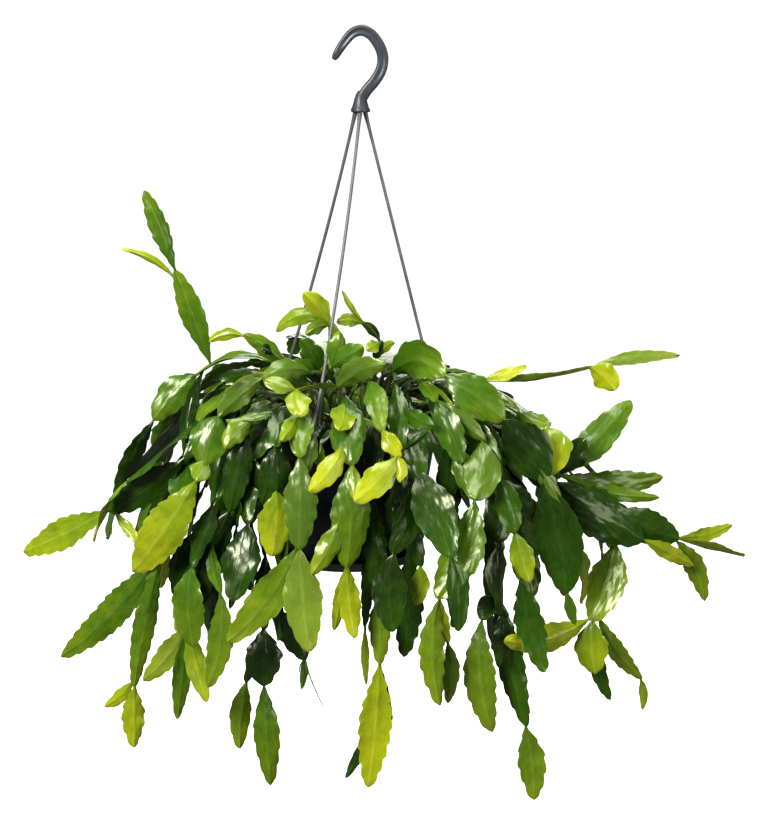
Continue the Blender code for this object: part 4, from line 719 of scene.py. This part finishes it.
class Blade:
    """One flat, notched stem segment on a bowed path, turned about its own length."""

    def __init__(self, seat, tip, width, facing, roll, bow, most=MOST_STATIONS):
        self.root, self.root_section, self.run = seat
        self.tip = tip
        self.width = width
        self.facing = facing
        self.roll = roll
        self.length = (tip - self.root).length
        aim = (tip - self.root).normalized()
        lead = (self.run - aim * self.run.dot(aim)) * max(0.0, self.run.dot(aim)) ** 0.5
        self.bend = (self.root + tip) / 2 + bow + lead * self.length * LEAD
        longer = (self.length > SHORT_SEGMENT) + (self.length > LONG_SEGMENT)
        self.stations = min(most, LEAST_STATIONS + longer)

    def point(self, s):
        r = 1.0 - s
        return self.root * r * r + self.bend * 2 * r * s + self.tip * s * s

    def heading(self, s):
        return ((self.bend - self.root) * (1.0 - s) + (self.tip - self.bend) * s).normalized()

    def seat(self, share, aim):
        s = max(LOWEST_SEAT, min(share, 1.0 - SINK / self.length))
        across, out = self.section(s)
        lean = across.dot(aim) * SIDE_ROOM
        span = self.stations - 1
        step = min(span - 1, int(s * span))
        low, high = self.point(step / span), self.point((step + 1) / span)
        middle = low.lerp(high, s * span - step)
        depth = self.thickness(s) * (0.5 - BELOW_PATH - abs(lean) / 2)
        return middle + across * lean * self.spread(s) + out * depth, (across, out), self.heading(s)

    def spread(self, s):
        if s < WIDEST_AT:
            full = 1.0 - (1.0 - s / WIDEST_AT) ** BASE_TAPER
        else:
            full = 1.0 - TIP_NARROWING * ((s - WIDEST_AT) / (1.0 - WIDEST_AT)) ** TIP_TAPER
        return max(NECK_WIDTH / 2, self.width / 2 * full)

    def thickness(self, s):
        middle = SEGMENT_THICKNESS + THICKER_WITH_WIDTH * self.width
        if s < THICKEST_AT:
            return NECK_THICKNESS + (middle - NECK_THICKNESS) * s / THICKEST_AT
        return middle + (TIP_THICKNESS - middle) * (s - THICKEST_AT) / (1.0 - THICKEST_AT)

    def section(self, s):
        along = self.heading(s)
        across = along.cross(self.facing).normalized()
        out = across.cross(along)
        turn = math.radians(self.roll * (ROLL_AT_NECK + ROLL_GAIN * s))
        cosine, sine = math.cos(turn), math.sin(turn)
        across, out = across * cosine + out * sine, out * cosine - across * sine
        if s == 0.0 and self.root_section:
            parent_across, parent_out = self.root_section
            if min(parent_across.dot(across), parent_out.dot(out)) > IN_LINE:
                return self.root_section
        return across, out

    def rings(self):
        rows = []
        last = self.stations - 1
        for k in range(self.stations):
            s = k / last
            centre = self.point(s)
            across, out = self.section(s)
            half = self.spread(s)
            odd_side = 1.0 if k % 2 or k in (0, last) else NOTCH
            even_side = 1.0 if k % 2 == 0 or k in (0, last) else NOTCH
            thick = self.thickness(s)
            back = centre - out * thick * BELOW_PATH
            rows.append([back + across * half * odd_side, centre + out * thick * (1 - BELOW_PATH),
                         back - across * half * even_side])
        return rows


def stands_in(surface, piece):
    """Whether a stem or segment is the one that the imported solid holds: its corners lie on the solid."""
    corners = [point for ring in piece.rings()[1:] for point in ring]
    found = sum(surface.find_nearest(corner)[3] < ON_SURFACE for corner in corners)
    return found >= len(corners) * ENOUGH_ON_SURFACE


def free_feet(shoulder, feet):
    """Places in the soil for a spray's stem, the one under its shoulder first, clear of the others."""
    level = Vector((shoulder.x - POT_CENTRE.x, shoulder.y, 0.0))
    spoke = level.normalized()
    radius = min(level.length * FOOT_SHARE, FOOT_REACH)
    for turn in FOOT_TURNS:
        for step in range(FOOT_STEPS):
            distance = radius - step * FOOT_STEP
            if distance < FOOT_INNERMOST:
                break
            spot = POT_CENTRE + Quaternion(UP, math.radians(turn)) @ spoke * distance + UP * SOIL_TOP
            if all((spot - foot).length > STEM_SPACING for foot in feet):
                yield spot


def find_stem(surface, shoulder, toward_point, feet):
    """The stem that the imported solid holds, out of the ones that the planting rule could set."""
    arrival = (toward_point - shoulder).normalized()
    level = Vector((shoulder.x - POT_CENTRE.x, shoulder.y, 0.0)).normalized()
    for out, lift in SHOULDER_NUDGES:
        place = shoulder + level * out * MM + UP * lift * MM
        for foot in free_feet(place, feet):
            for rise in STEM_RISES:
                stem = Stem(foot, place, arrival, rise)
                if stands_in(surface, stem):
                    feet.append(foot)
                    return stem
    raise ValueError("a stem of the packed part isn't where the planting rule sets it")


def find_front_blades(surface, stem, rows):
    """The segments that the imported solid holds, out of the listed ones slid along the line of sight."""
    placed = {-1: stem}
    for index, (parent_index, share, across, down, toward, width, roll, rise) in enumerate(rows):
        parent = placed.get(parent_index)
        if parent is None:
            continue
        side = 1 if index % 2 else -1
        for trial in range(TRIAL_COUNT * len(ATTEMPT_SIZES)):
            step = (trial % TRIAL_COUNT + 1) // 2 * (1 if trial % 2 else -1)
            tip = seen_at(across * MM, down * MM, in_plan(across, toward) * MM + step * TRIAL_STEP)
            seat = parent.seat(share, (tip - (parent.end if parent is stem else parent.tip)).normalized())
            attempt = trial // TRIAL_COUNT
            keep, extra = ATTEMPT_TURNS[attempt]
            blade = Blade(seat, tip, width * MM * ATTEMPT_SIZES[attempt],
                          (VIEW_POINT - seat[0]).normalized(), keep * roll * side + extra,
                          UP * rise * MM)
            if stands_in(surface, blade):
                placed[index] = blade
                break
    return placed


def find_back_blades(surface, found, parent, level, degrees, manner, draw):
    """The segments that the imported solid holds, out of those that the growing rule draws."""
    if level >= len(manner["pitches"]):
        return
    children = manner["children"][level]
    for child in range(children):
        fork = 0.0 if children == 1 else (child - (children - 1) / 2) * manner["fork"]
        for trial in range(BACK_TRIALS):
            loose = 1.0 + trial / LOOSENED_OVER
            heading = degrees + fork + draw.uniform(-HEADING_DRIFT, HEADING_DRIFT) * loose
            pitch = manner["pitches"][level] + draw.uniform(-PITCH_DRIFT, PITCH_DRIFT) * loose
            tilt = math.radians(max(PITCH_LIMITS[0], min(PITCH_LIMITS[1], pitch)))
            length = draw.uniform(*SEGMENT_LENGTHS) * (1.0 if trial < SHORTENED_AFTER else SHORTENING)
            width = length * draw.uniform(*SEGMENT_BROADNESS)
            roll = draw.uniform(-ROLL_DRIFT, ROLL_DRIFT)
            share = 1.0 if child == 0 else draw.uniform(*FORK_SHARES)
            aim = spoke_from_viewer(heading) * math.cos(tilt) + UP * math.sin(tilt)
            seat = parent.seat(share, aim)
            tip = seat[0] + aim * length
            outward = Vector((seat[0].x - POT_CENTRE.x, seat[0].y, 0.0)).normalized()
            facing = (outward + UP * FACE_RISE).normalized()
            if abs(facing.dot(aim)) > FACE_TOO_NEAR_RUN:
                facing = (outward * STEEP_FACE_OUT + UP).normalized()
            bow = UP * length * UPWARD_BOW + outward * length * OUTWARD_BOW
            blade = Blade(seat, tip, width, facing, roll, bow, manner["stations"])
            if stands_in(surface, blade):
                found.append((blade, manner["tones"][level]))
                onward = degrees + fork * FORK_CARRIED
                find_back_blades(surface, found, blade, level + 1, onward, manner, draw)
                break


# How a tone letter of the tables is read: how young the green is, and how much pale olive-grey
# is mixed in, partly the skin's own greyed tone and partly a painted sheen.
TONES = {"D": (0.06, 0.0), "B": (0.1, 0.03), "C": (0.24, 0.0), "M": (0.42, 0.05), "O": (0.35, 0.28),
         "N": (0.57, 0.1), "L": (0.74, 0.05), "P": (0.68, 0.36), "Y": (0.87, 0.0)}
YOUTH_LOOSE = 0.05
STATION_SPACING = 1.7 * MM
FEWEST_ROWS = 12
LOBE_LENGTH = 13.0 * MM
LOBE_DEPTH = 1.5 * MM
LOBE_REACH = 0.78
LOBE_LOOSE = 0.2
LOBE_DEPTHS = (0.7, 1.25)
LOBE_GROWS_TO = 1.2
BROAD_SEGMENT = 24.0 * MM
# The powers that round a lobe's long side and its notch, and how soon a lobe is at full depth.
LOBE_FORM = (1.2, 1.5)
LOBE_FULL_FROM = 1.6
WAVE_TURNS = (1.1, 2.4)
WAVE_APART = 1.9
WAVES = (0.03, 0.075)
CUPS = (-0.09, 0.17)
CUP_LEVEL = 0.3
PATTERN_SHIFT = 40.0
TIP_FROM = 0.93
TIP_OVER = 0.075
TIP_LEAST = 0.3
SLIMMED = 0.92
RIB_HALF = 0.12
RIB_SHARE = 0.7
# The section falls from its middle to its edges: its height there, the fall, and the fall's power.
ROOF = (0.15, 0.5, 1.6)
ACROSS = (-1.0, -0.84, -0.52, -0.17, 0.0, 0.17, 0.52, 0.84, 1.0)
RING = [(u, 1.0) for u in ACROSS] + [(u, -1.0) for u in reversed(ACROSS[1:-1])]
EDGE_HALF = 0.3 * MM
BARK_SIDES = 10
BARK_STEPS = 18
BARK_UPRIGHT = 3.0 * MM
# The rind's radius in mm at the foot and its gain, and the height and spacing of its knots.
BARK_RADII = (1.65, 0.35)
BARK_KNOTS = (0.22, 1.9)
BARK_MARK = 0.1
BARK_PATTERN = 0.03
UV_METRE = 10.0
LIVING_CREASE = 60.0


def close_rows(faces, first, rows, count):
    """Join rows of vertices into a closed skin, with a flat cap at each end."""
    for row in range(rows - 1):
        for i in range(count):
            j = (i + 1) % count
            a, b = first + row * count, first + (row + 1) * count
            faces.append((a + i, a + j, b + j, b + i))
    last = first + (rows - 1) * count
    faces.append(tuple(reversed(range(first, first + count))))
    faces.append(tuple(range(last, last + count)))


def blade_skin(blade, letter, loose, verts, faces, marks, spots):
    """Skin one segment: scalloped edges, a raised midrib on both faces, and a slight cup and wave."""
    youth, greying_and_sheen = TONES[letter]
    youth = clamped(youth + loose.uniform(-YOUTH_LOOSE, YOUTH_LOOSE))
    stations = max(FEWEST_ROWS, int(blade.length / STATION_SPACING) + 1)
    lobes = max(2, round(blade.length / LOBE_LENGTH)) + loose.uniform(-LOBE_LOOSE, LOBE_LOOSE)
    depth = LOBE_DEPTH * loose.uniform(*LOBE_DEPTHS) * min(LOBE_GROWS_TO, blade.width / BROAD_SEGMENT)
    turns = loose.uniform(*WAVE_TURNS)
    start = loose.uniform(0, 6.28)
    cup = loose.uniform(*CUPS) * blade.width
    wave = loose.uniform(*WAVES) * blade.width
    shift = (loose.uniform(0, PATTERN_SHIFT), loose.uniform(0, PATTERN_SHIFT))
    first = len(verts)
    for k in range(stations):
        s = k / (stations - 1)
        centre = blade.point(s)
        across, out = blade.section(max(s, 0.0001))
        half = blade.spread(s)
        if s > TIP_FROM:
            half *= max(TIP_LEAST, math.sqrt(max(0.0, 1.0 - ((s - TIP_FROM) / TIP_OVER) ** 2)))
        full = half / (blade.width / 2)
        thick = blade.thickness(s) * SLIMMED
        for u, face in RING:
            edge = abs(u)
            part = (s * lobes + (0.5 if u > 0 else 0.0) + start) % 1.0
            if part < LOBE_REACH:
                notch = 1.0 - math.sin(math.pi / 2 * part / LOBE_REACH) ** LOBE_FORM[0]
            else:
                notch = math.sin(math.pi / 2 * (part - LOBE_REACH) / (1.0 - LOBE_REACH)) ** LOBE_FORM[1]
            x = u * (half - depth * min(1.0, full * LOBE_FULL_FROM) * notch * edge ** 2)
            rib = RIB_SHARE * math.exp(-(u / RIB_HALF) ** 2)
            body = 0.5 * thick * ((1.0 - RIB_SHARE) * (1.0 - edge ** 3) + rib)
            body += EDGE_HALF * (1.0 - edge ** 6)
            z = thick * (ROOF[0] - ROOF[1] * edge ** ROOF[2]) + cup * (u * u - CUP_LEVEL) * full
            swing = math.sin(2 * math.pi * turns * s + start + (WAVE_APART if u > 0 else 0.0))
            verts.append(centre + across * x + out * (z + wave * edge ** 2 * full * swing + face * body))
            marks.append((youth, greying_and_sheen, edge, s))
            spots.append((x * UV_METRE + shift[0], s * blade.length * UV_METRE + shift[1]))
    close_rows(faces, first, stations, len(RING))


def stem_skin(stem, verts, faces, marks, spots):
    """Skin the bare stem: a round, slightly knotted rod from the soil to the shoulder."""
    points = [stem.foot - UP * STEM_DEPTH, stem.foot - UP * BARK_UPRIGHT]
    points += [stem.point(n / BARK_STEPS) for n in range(BARK_STEPS + 1)]
    last = len(points) - 1
    first = len(verts)
    for n, point in enumerate(points):
        knot = BARK_KNOTS[0] * math.sin(n * BARK_KNOTS[1])
        radius = (BARK_RADII[0] + BARK_RADII[1] * n / last + knot) * MM
        verts += ring_round(point, run_at(points, n), radius, BARK_SIDES, 0.0)
        for k in range(BARK_SIDES):
            marks.append((BARK_MARK, 0.0, 1.0, n / last))
            spots.append((2.0 * math.pi * k / BARK_SIDES * radius * UV_METRE, n * BARK_PATTERN))
    close_rows(faces, first, len(points), BARK_SIDES)


def add_living(name, verts, faces, marks, spots, bark_faces, nodes):
    """Make a piece of stems and segments: bark first, then skin with its marks and places."""
    mesh = bpy.data.meshes.new(name + "_living")
    mesh.from_pydata(verts, [], faces)
    skin = mesh.attributes.new("skin", "FLOAT_COLOR", "POINT")
    skin.data.foreach_set("color", np.array(marks, np.float32).ravel())
    uv = mesh.uv_layers.new(name="UVMap")
    corners = np.empty(len(mesh.loops), np.int32)
    mesh.loops.foreach_get("vertex_index", corners)
    uv.data.foreach_set("uv", np.array(spots, np.float32)[corners].ravel())
    add_piece(name + "_living", mesh, segment_skin, nodes, LIVING_CREASE)
    mesh.materials.append(stem_bark)
    order = np.zeros(len(mesh.polygons), np.int32)
    order[:bark_faces] = 1
    mesh.polygons.foreach_set("material_index", order)


# The waxy skin of a segment: chlorophyll green that runs from near black-green to lime with youth,
# a paler midrib and rim, faint lengthwise veins, and a smooth cuticle that lies in soft folds, so
# that a softbox shows in it as broken pale streaks. A unit of its places is 100 mm: the veins are
# 2.4 mm apart and 11 mm long, coarser than real ones so that they show, and the folds 9 by 20 mm.
MOTTLE_SIZE = 16.0 * MM
VEIN_SCALE = (42.0, 9.0, 1.0)
FOLD_SCALE = (11.0, 5.0, 1.0)
YOUTH_OFFSET = 0.34
# How much the place along the segment, the mottle and the veins add to its youth.
YOUTH_SHARES = (0.24, 0.3, 0.16)
GREENS = [(0.0, "#112703"), (0.2, "#264A02"), (0.42, "#3F6403"), (0.7, "#738A0A"), (0.94, "#A4AC10")]
segment_skin, tree, shader, place = new_material("segment_waxy_skin")
mark = add_node(tree, "ShaderNodeAttribute", attribute_name="skin")
split = add_node(tree, "ShaderNodeSeparateColor", {"Color": mark.outputs["Color"]})
spot = add_node(tree, "ShaderNodeUVMap", uv_map="UVMap").outputs["UV"]
mottle = add_node(tree, "ShaderNodeTexNoise", {"Vector": place, "Scale": 1 / MOTTLE_SIZE, "Detail": 4.0})
stretch = add_node(tree, "ShaderNodeMapping", {"Vector": spot, "Scale": VEIN_SCALE})
streak = add_node(tree, "ShaderNodeTexNoise", {"Vector": stretch.outputs["Vector"], "Scale": 1.0,
                                               "Detail": 3.0}).outputs["Fac"]
youth = add_node(tree, "ShaderNodeMath", {0: split.outputs["Red"], 1: YOUTH_OFFSET}, operation="SUBTRACT")
for source, share in zip((mark.outputs["Alpha"], mottle.outputs["Fac"], streak), YOUTH_SHARES):
    youth = add_node(tree, "ShaderNodeMath", {0: source, 1: share, 2: youth.outputs[0]},
                     operation="MULTIPLY_ADD")
greens = ramp_of(add_node(tree, "ShaderNodeValToRGB", {"Fac": youth.outputs[0]}), GREENS)
# The second mark mixes in a pale olive-grey: partly a greyed tone of the skin, partly a painted sheen.
wax_and_painted_sheen = add_node(tree, "ShaderNodeMix", {0: split.outputs["Green"], 6: greens, 7: hex_colour("#70853A")},
               data_type="RGBA").outputs[2]
midrib = add_node(tree, "ShaderNodeMapRange", {"Value": split.outputs["Blue"], "From Min": 0.02,
                                               "From Max": 0.12, "To Min": 0.4, "To Max": 0.0})
rim = add_node(tree, "ShaderNodeMapRange", {"Value": split.outputs["Blue"], "From Min": 0.93,
                                            "From Max": 1.0, "To Min": 0.0, "To Max": 0.6})
pale_places = add_node(tree, "ShaderNodeMath", {0: midrib.outputs["Result"], 1: rim.outputs["Result"]},
                       operation="ADD")
thin = add_node(tree, "ShaderNodeHueSaturation", {"Color": wax_and_painted_sheen, "Saturation": 0.9, "Value": 1.5})
lined = add_node(tree, "ShaderNodeMix", {0: pale_places.outputs[0], 6: wax_and_painted_sheen, 7: thin.outputs["Color"]},
                 data_type="RGBA")
gloss = add_node(tree, "ShaderNodeMapRange", {"Value": streak, "To Min": 0.17, "To Max": 0.37})
fold_spot = add_node(tree, "ShaderNodeMapping", {"Vector": spot, "Scale": FOLD_SCALE})
fold = add_node(tree, "ShaderNodeTexNoise", {"Vector": fold_spot.outputs["Vector"], "Scale": 1.0,
                                             "Detail": 1.5})
folds = add_node(tree, "ShaderNodeBump", {"Height": fold.outputs["Fac"], "Strength": 0.55,
                                          "Distance": 4.5 * MM})
relief = add_node(tree, "ShaderNodeBump", {"Height": streak, "Strength": 0.16, "Distance": 0.7 * MM,
                                           "Normal": folds.outputs["Normal"]})
fill_sockets(tree, shader, {
    "Base Color": lined.outputs[2], "Roughness": gloss.outputs["Result"],
    "Normal": relief.outputs["Normal"], "IOR": 1.54, "Specular Tint": hex_colour("#FBFFE2"),
    "Coat Weight": 0.03, "Coat Roughness": 0.12, "Coat IOR": 1.5, "Subsurface Weight": 0.08,
    "Subsurface Radius": (0.6, 1.0, 0.2), "Subsurface Scale": 1.2 * MM})

# The corky skin of the old stems: a green rind that has turned woody with age. It is olive over
# brown and cracked every 3 mm or so, which gives the eye a dry, dull and broken surface.
CRACK_SPACING = 3.0 * MM
CRACK_STOPS = (0.3, 0.6, 0.8)


def dry_skin(name, colours):
    """Corky skin, dull and finely cracked, from its dark, middle and pale colours."""
    material, tree, shader, place = new_material(name)
    cracks = add_node(tree, "ShaderNodeTexNoise", {"Vector": place, "Scale": 1 / CRACK_SPACING,
                                                   "Detail": 5.0})
    tones = add_node(tree, "ShaderNodeValToRGB", {"Fac": cracks.outputs["Fac"]})
    relief = add_node(tree, "ShaderNodeBump", {"Height": cracks.outputs["Fac"], "Strength": 0.5,
                                               "Distance": 0.4 * MM})
    fill_sockets(tree, shader, {"Base Color": ramp_of(tones, list(zip(CRACK_STOPS, colours))),
                                "Normal": relief.outputs["Normal"], "Roughness": 0.7})
    return material


stem_bark = dry_skin("stem_corky_bark", ("#26300F", "#3F4A1C", "#5A5630"))

# The sprays one by one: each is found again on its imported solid, stem first, and then skinned
# segment by segment, so that the fine plant stands where the solid one does.
TRIM_SEED = 5
surfaces = {}
for node_name, node in frame["nodes"].items():
    corners = [vert.co for vert in node.data.vertices]
    walls = [list(face.vertices) for face in node.data.polygons]
    surfaces[node_name] = BVHTree.FromPolygons(corners, walls)

sprays = []
feet = []
for name, shoulder, tones, rows in FRONT_SPRAYS:
    across, down, toward = rows[0][2:5]
    aim = seen_at(across * MM, down * MM, in_plan(across, toward) * MM)
    stem = find_stem(surfaces[name], seen_at(*[value * MM for value in shoulder]), aim, feet)
    sprays.append((name, stem, tones, rows, None))
back_places = []
for n in range(BACK_COUNT):
    degrees = BACK_FIRST + (BACK_LAST - BACK_FIRST) * n / (BACK_COUNT - 1)
    back_places.append((degrees, HANGING if n % 2 else ARCHING))
for n in range(LOW_COUNT):
    back_places.append((LOW_FIRST + (LOW_LAST - LOW_FIRST) * n / (LOW_COUNT - 1), LOW))
back_places += [(degrees, INNER) for degrees in INNER_PLACES]
for n, (degrees, manner) in enumerate(back_places):
    name = f"spray_back_{n + 1:02d}"
    for _, turn, _ in STRANDS.values():
        off = (degrees - turn + 180.0) % 360.0 - 180.0
        if abs(off) < STRAND_ROOM:
            degrees += (STRAND_ROOM - abs(off)) * (1 if off > 0 else -1)
    spoke = spoke_from_viewer(degrees)
    shoulder = POT_CENTRE + spoke * manner["radius"] * MM + UP * manner["height"] * MM
    aim = shoulder + spoke * AIM_REACH + UP * manner["aim"] * MM
    sprays.append((name, find_stem(surfaces[name], shoulder, aim, feet), None, None, (degrees, manner)))

draw = random.Random(SEED)
loose = random.Random(TRIM_SEED)
front_blades = {}
for name, stem, tones, rows, rule in sprays:
    verts, faces, marks, spots = [], [], [], []
    stem_skin(stem, verts, faces, marks, spots)
    bark_faces = len(faces)
    if rows:
        placed = find_front_blades(surfaces[name], stem, rows)
        front_blades[name] = placed
        blades = [(placed[n], tones[n]) for n in range(len(rows)) if n in placed]
    else:
        found = []
        find_back_blades(surfaces[name], found, stem, 0, rule[0], rule[1], draw)
        blades = [(blade, loose.choice(letters)) for blade, letters in found]
    for blade, letter in blades:
        blade_skin(blade, letter, loose, verts, faces, marks, spots)
    add_living(name, verts, faces, marks, spots, bark_faces, [name])

# Two aerial roots: dry grey-brown threads, such as this plant puts out in damp air. They hang from
# the tip of one low segment at the left, matt, thin and slightly curled.
ROOT_SPRAY = "spray_under_left"
ROOT_SEGMENT = 3
ROOT_SEAT = 0.97
AERIAL_ROOTS = ([(3.0, 14.0), (9.0, 30.0), (15.0, 44.0)], [(-5.0, 5.0), (-6.0, 12.0)])
ROOT_STEPS = 6
ROOT_RADIUS = 0.9 * MM
ROOT_TAPER = 0.5
ROOT_SIDES = 8
aerial_skin = dry_skin("aerial_root_dry", ("#6F6C5C", "#8C8974", "#A5A28C"))
root_carrier = front_blades[ROOT_SPRAY][ROOT_SEGMENT]
roots_shape = bmesh.new()
for places in AERIAL_ROOTS:
    points = [root_carrier.point(ROOT_SEAT)]
    points += [root_carrier.tip + VIEW_RIGHT * across * MM - UP * down * MM for across, down in places]
    points = smooth_line(points, ROOT_STEPS)
    radii = [ROOT_RADIUS * (1.0 - ROOT_TAPER * n / len(points)) for n in range(len(points))]
    tube(roots_shape, points, radii, ROOT_SIDES)
add_piece("aerial_roots", mesh_of("aerial_roots", roots_shape), aerial_skin, [],
          LIVING_CREASE)

# The crown's small shaded shoots, far too many to be solids of their own: short olive segments that
# crowd over the soil and the rim. Each grows up out of the soil, leans outwards and clears the rest.
SHOOT_SEED = 31
SHOOT_COUNT = 64
SHOOT_TURN = 137.5
SHOOT_RADII = (14.0 * MM, 68.0 * MM)
SHOOT_SUNK = 1.0 * MM
SHOOT_LENGTHS = (30.0 * MM, 48.0 * MM)
SHOOT_BROADNESS = (0.24, 0.36)
SHOOT_PITCHES = (46.0, 2.0, -44.0)
SHOOT_DRIFT = (42.0, 17.0)
SHOOT_ROLL = 55.0
SHOOT_STATIONS = 5
SHOOT_TRIALS = 14
SHOOT_SWELL = 1.12
SHOOT_TONES = "DCCOOM"


def shoot_tree(blade):
    """A segment's corners, a little swollen, as a surface to test against its neighbours."""
    rings = blade.rings()
    points = [blade.point(k / (len(rings) - 1)).lerp(corner, SHOOT_SWELL)
              for k, ring in enumerate(rings) for corner in ring]
    walls = []
    for k in range(len(rings) - 1):
        for i in range(3):
            a, b = 3 * k + i, 3 * k + (i + 1) % 3
            walls.append((a, b, b + 3, a + 3))
    return BVHTree.FromPolygons(points, walls)


draw = random.Random(SHOOT_SEED)
standing = dict(surfaces)
verts, faces, marks, spots = [], [], [], []
for n in range(SHOOT_COUNT):
    turn = n * SHOOT_TURN
    low, high = SHOOT_RADII
    radius = low + (high - low) * math.sqrt((n + 0.5) / SHOOT_COUNT)
    foot = POT_CENTRE + spoke_from_viewer(turn) * radius + UP * (SOIL_TOP - SHOOT_SUNK)
    seat = (foot, None, UP)
    above = "soil"
    for level, pitch in enumerate(SHOOT_PITCHES):
        grown = None
        for trial in range(SHOOT_TRIALS):
            heading = turn + draw.uniform(-SHOOT_DRIFT[0], SHOOT_DRIFT[0])
            tilt = math.radians(pitch + draw.uniform(-SHOOT_DRIFT[1], SHOOT_DRIFT[1]))
            length = draw.uniform(*SHOOT_LENGTHS)
            aim = spoke_from_viewer(heading) * math.cos(tilt) + UP * math.sin(tilt)
            facing = (spoke_from_viewer(heading) + UP * FACE_RISE).normalized()
            blade = Blade(seat, seat[0] + aim * length, length * draw.uniform(*SHOOT_BROADNESS), facing,
                          draw.uniform(-SHOOT_ROLL, SHOOT_ROLL), UP * length * UPWARD_BOW, SHOOT_STATIONS)
            shoot = shoot_tree(blade)
            if all(name == above or not shoot.overlap(other) for name, other in standing.items()):
                grown = blade
                break
        if grown is None:
            break
        above = f"shoot_{n}_{level}"
        standing[above] = shoot
        blade_skin(grown, loose.choice(SHOOT_TONES), loose, verts, faces, marks, spots)
        seat = grown.seat(1.0, aim)
add_living("crown_shoots", verts, faces, marks, spots, 0, [])

# The place: a wide pale floor under the hanging plant and a white surround. Both show to the
# camera only, as black flags would keep them off the plant, so that its glossy skins stay deep.
FLOOR_Z = -1.05
FLOOR_HALF = 24.0
SURROUND_RADIUS = 25.0
STUDIO_GLOW = 1.0
bpy.context.scene.view_settings.view_transform = "Standard"


def add_stage(name, shape):
    """Add a white piece of the studio, seen by the camera and by nothing else."""
    material, tree, shader, place = new_material(name + "_paint")
    white = hex_colour("#FFFFFF")
    fill_sockets(tree, shader, {"Base Color": white, "Roughness": 0.9, "Emission Color": white,
                                "Emission Strength": STUDIO_GLOW})
    mesh = mesh_of(name, shape)
    mesh.materials.append(material)
    stage = bpy.data.objects.new(name, mesh)
    bpy.context.scene.collection.objects.link(stage)
    for ray in ("diffuse", "glossy", "transmission", "volume_scatter", "shadow"):
        setattr(stage, "visible_" + ray, False)


floor_shape = bmesh.new()
bmesh.ops.create_grid(floor_shape, x_segments=1, y_segments=1, size=FLOOR_HALF,
                      matrix=Matrix.Translation((0.0, 0.0, FLOOR_Z)))
add_stage("studio_floor", floor_shape)
surround_shape = bmesh.new()
bmesh.ops.create_icosphere(surround_shape, subdivisions=3, radius=SURROUND_RADIUS)
add_stage("studio_surround", surround_shape)

world = bpy.data.worlds.new("studio_dim")
world.use_nodes = True
world.node_tree.nodes["Background"].inputs["Color"].default_value = hex_colour("#F9FFED")
world.node_tree.nodes["Background"].inputs["Strength"].default_value = 0.12
bpy.context.scene.world = world

LIGHTS = (("key_softbox", (-1.1, -1.6, 0.75), 0.7, 66.0), ("fill_softbox", (1.7, -1.3, 0.0), 1.0, 14.0),
          ("top_softbox", (0.1, -0.2, 1.0), 0.8, 18.0), ("rim_softbox", (0.3, 1.8, 0.4), 1.4, 22.0))
LIGHT_COLOUR = "#FFFEF6"
LIGHT_AIM = Vector((0.0, 0.0, -0.42))
for light_name, spot, size, power in LIGHTS:
    lamp = bpy.data.lights.new(light_name, "AREA")
    lamp.shape = "SQUARE"
    lamp.size = size
    lamp.energy = power
    lamp.color = hex_colour(LIGHT_COLOUR)[:3]
    holder = bpy.data.objects.new(light_name, lamp)
    holder.location = spot
    holder.rotation_euler = (LIGHT_AIM - Vector(spot)).to_track_quat("-Z", "Y").to_euler()
    bpy.context.scene.collection.objects.link(holder)
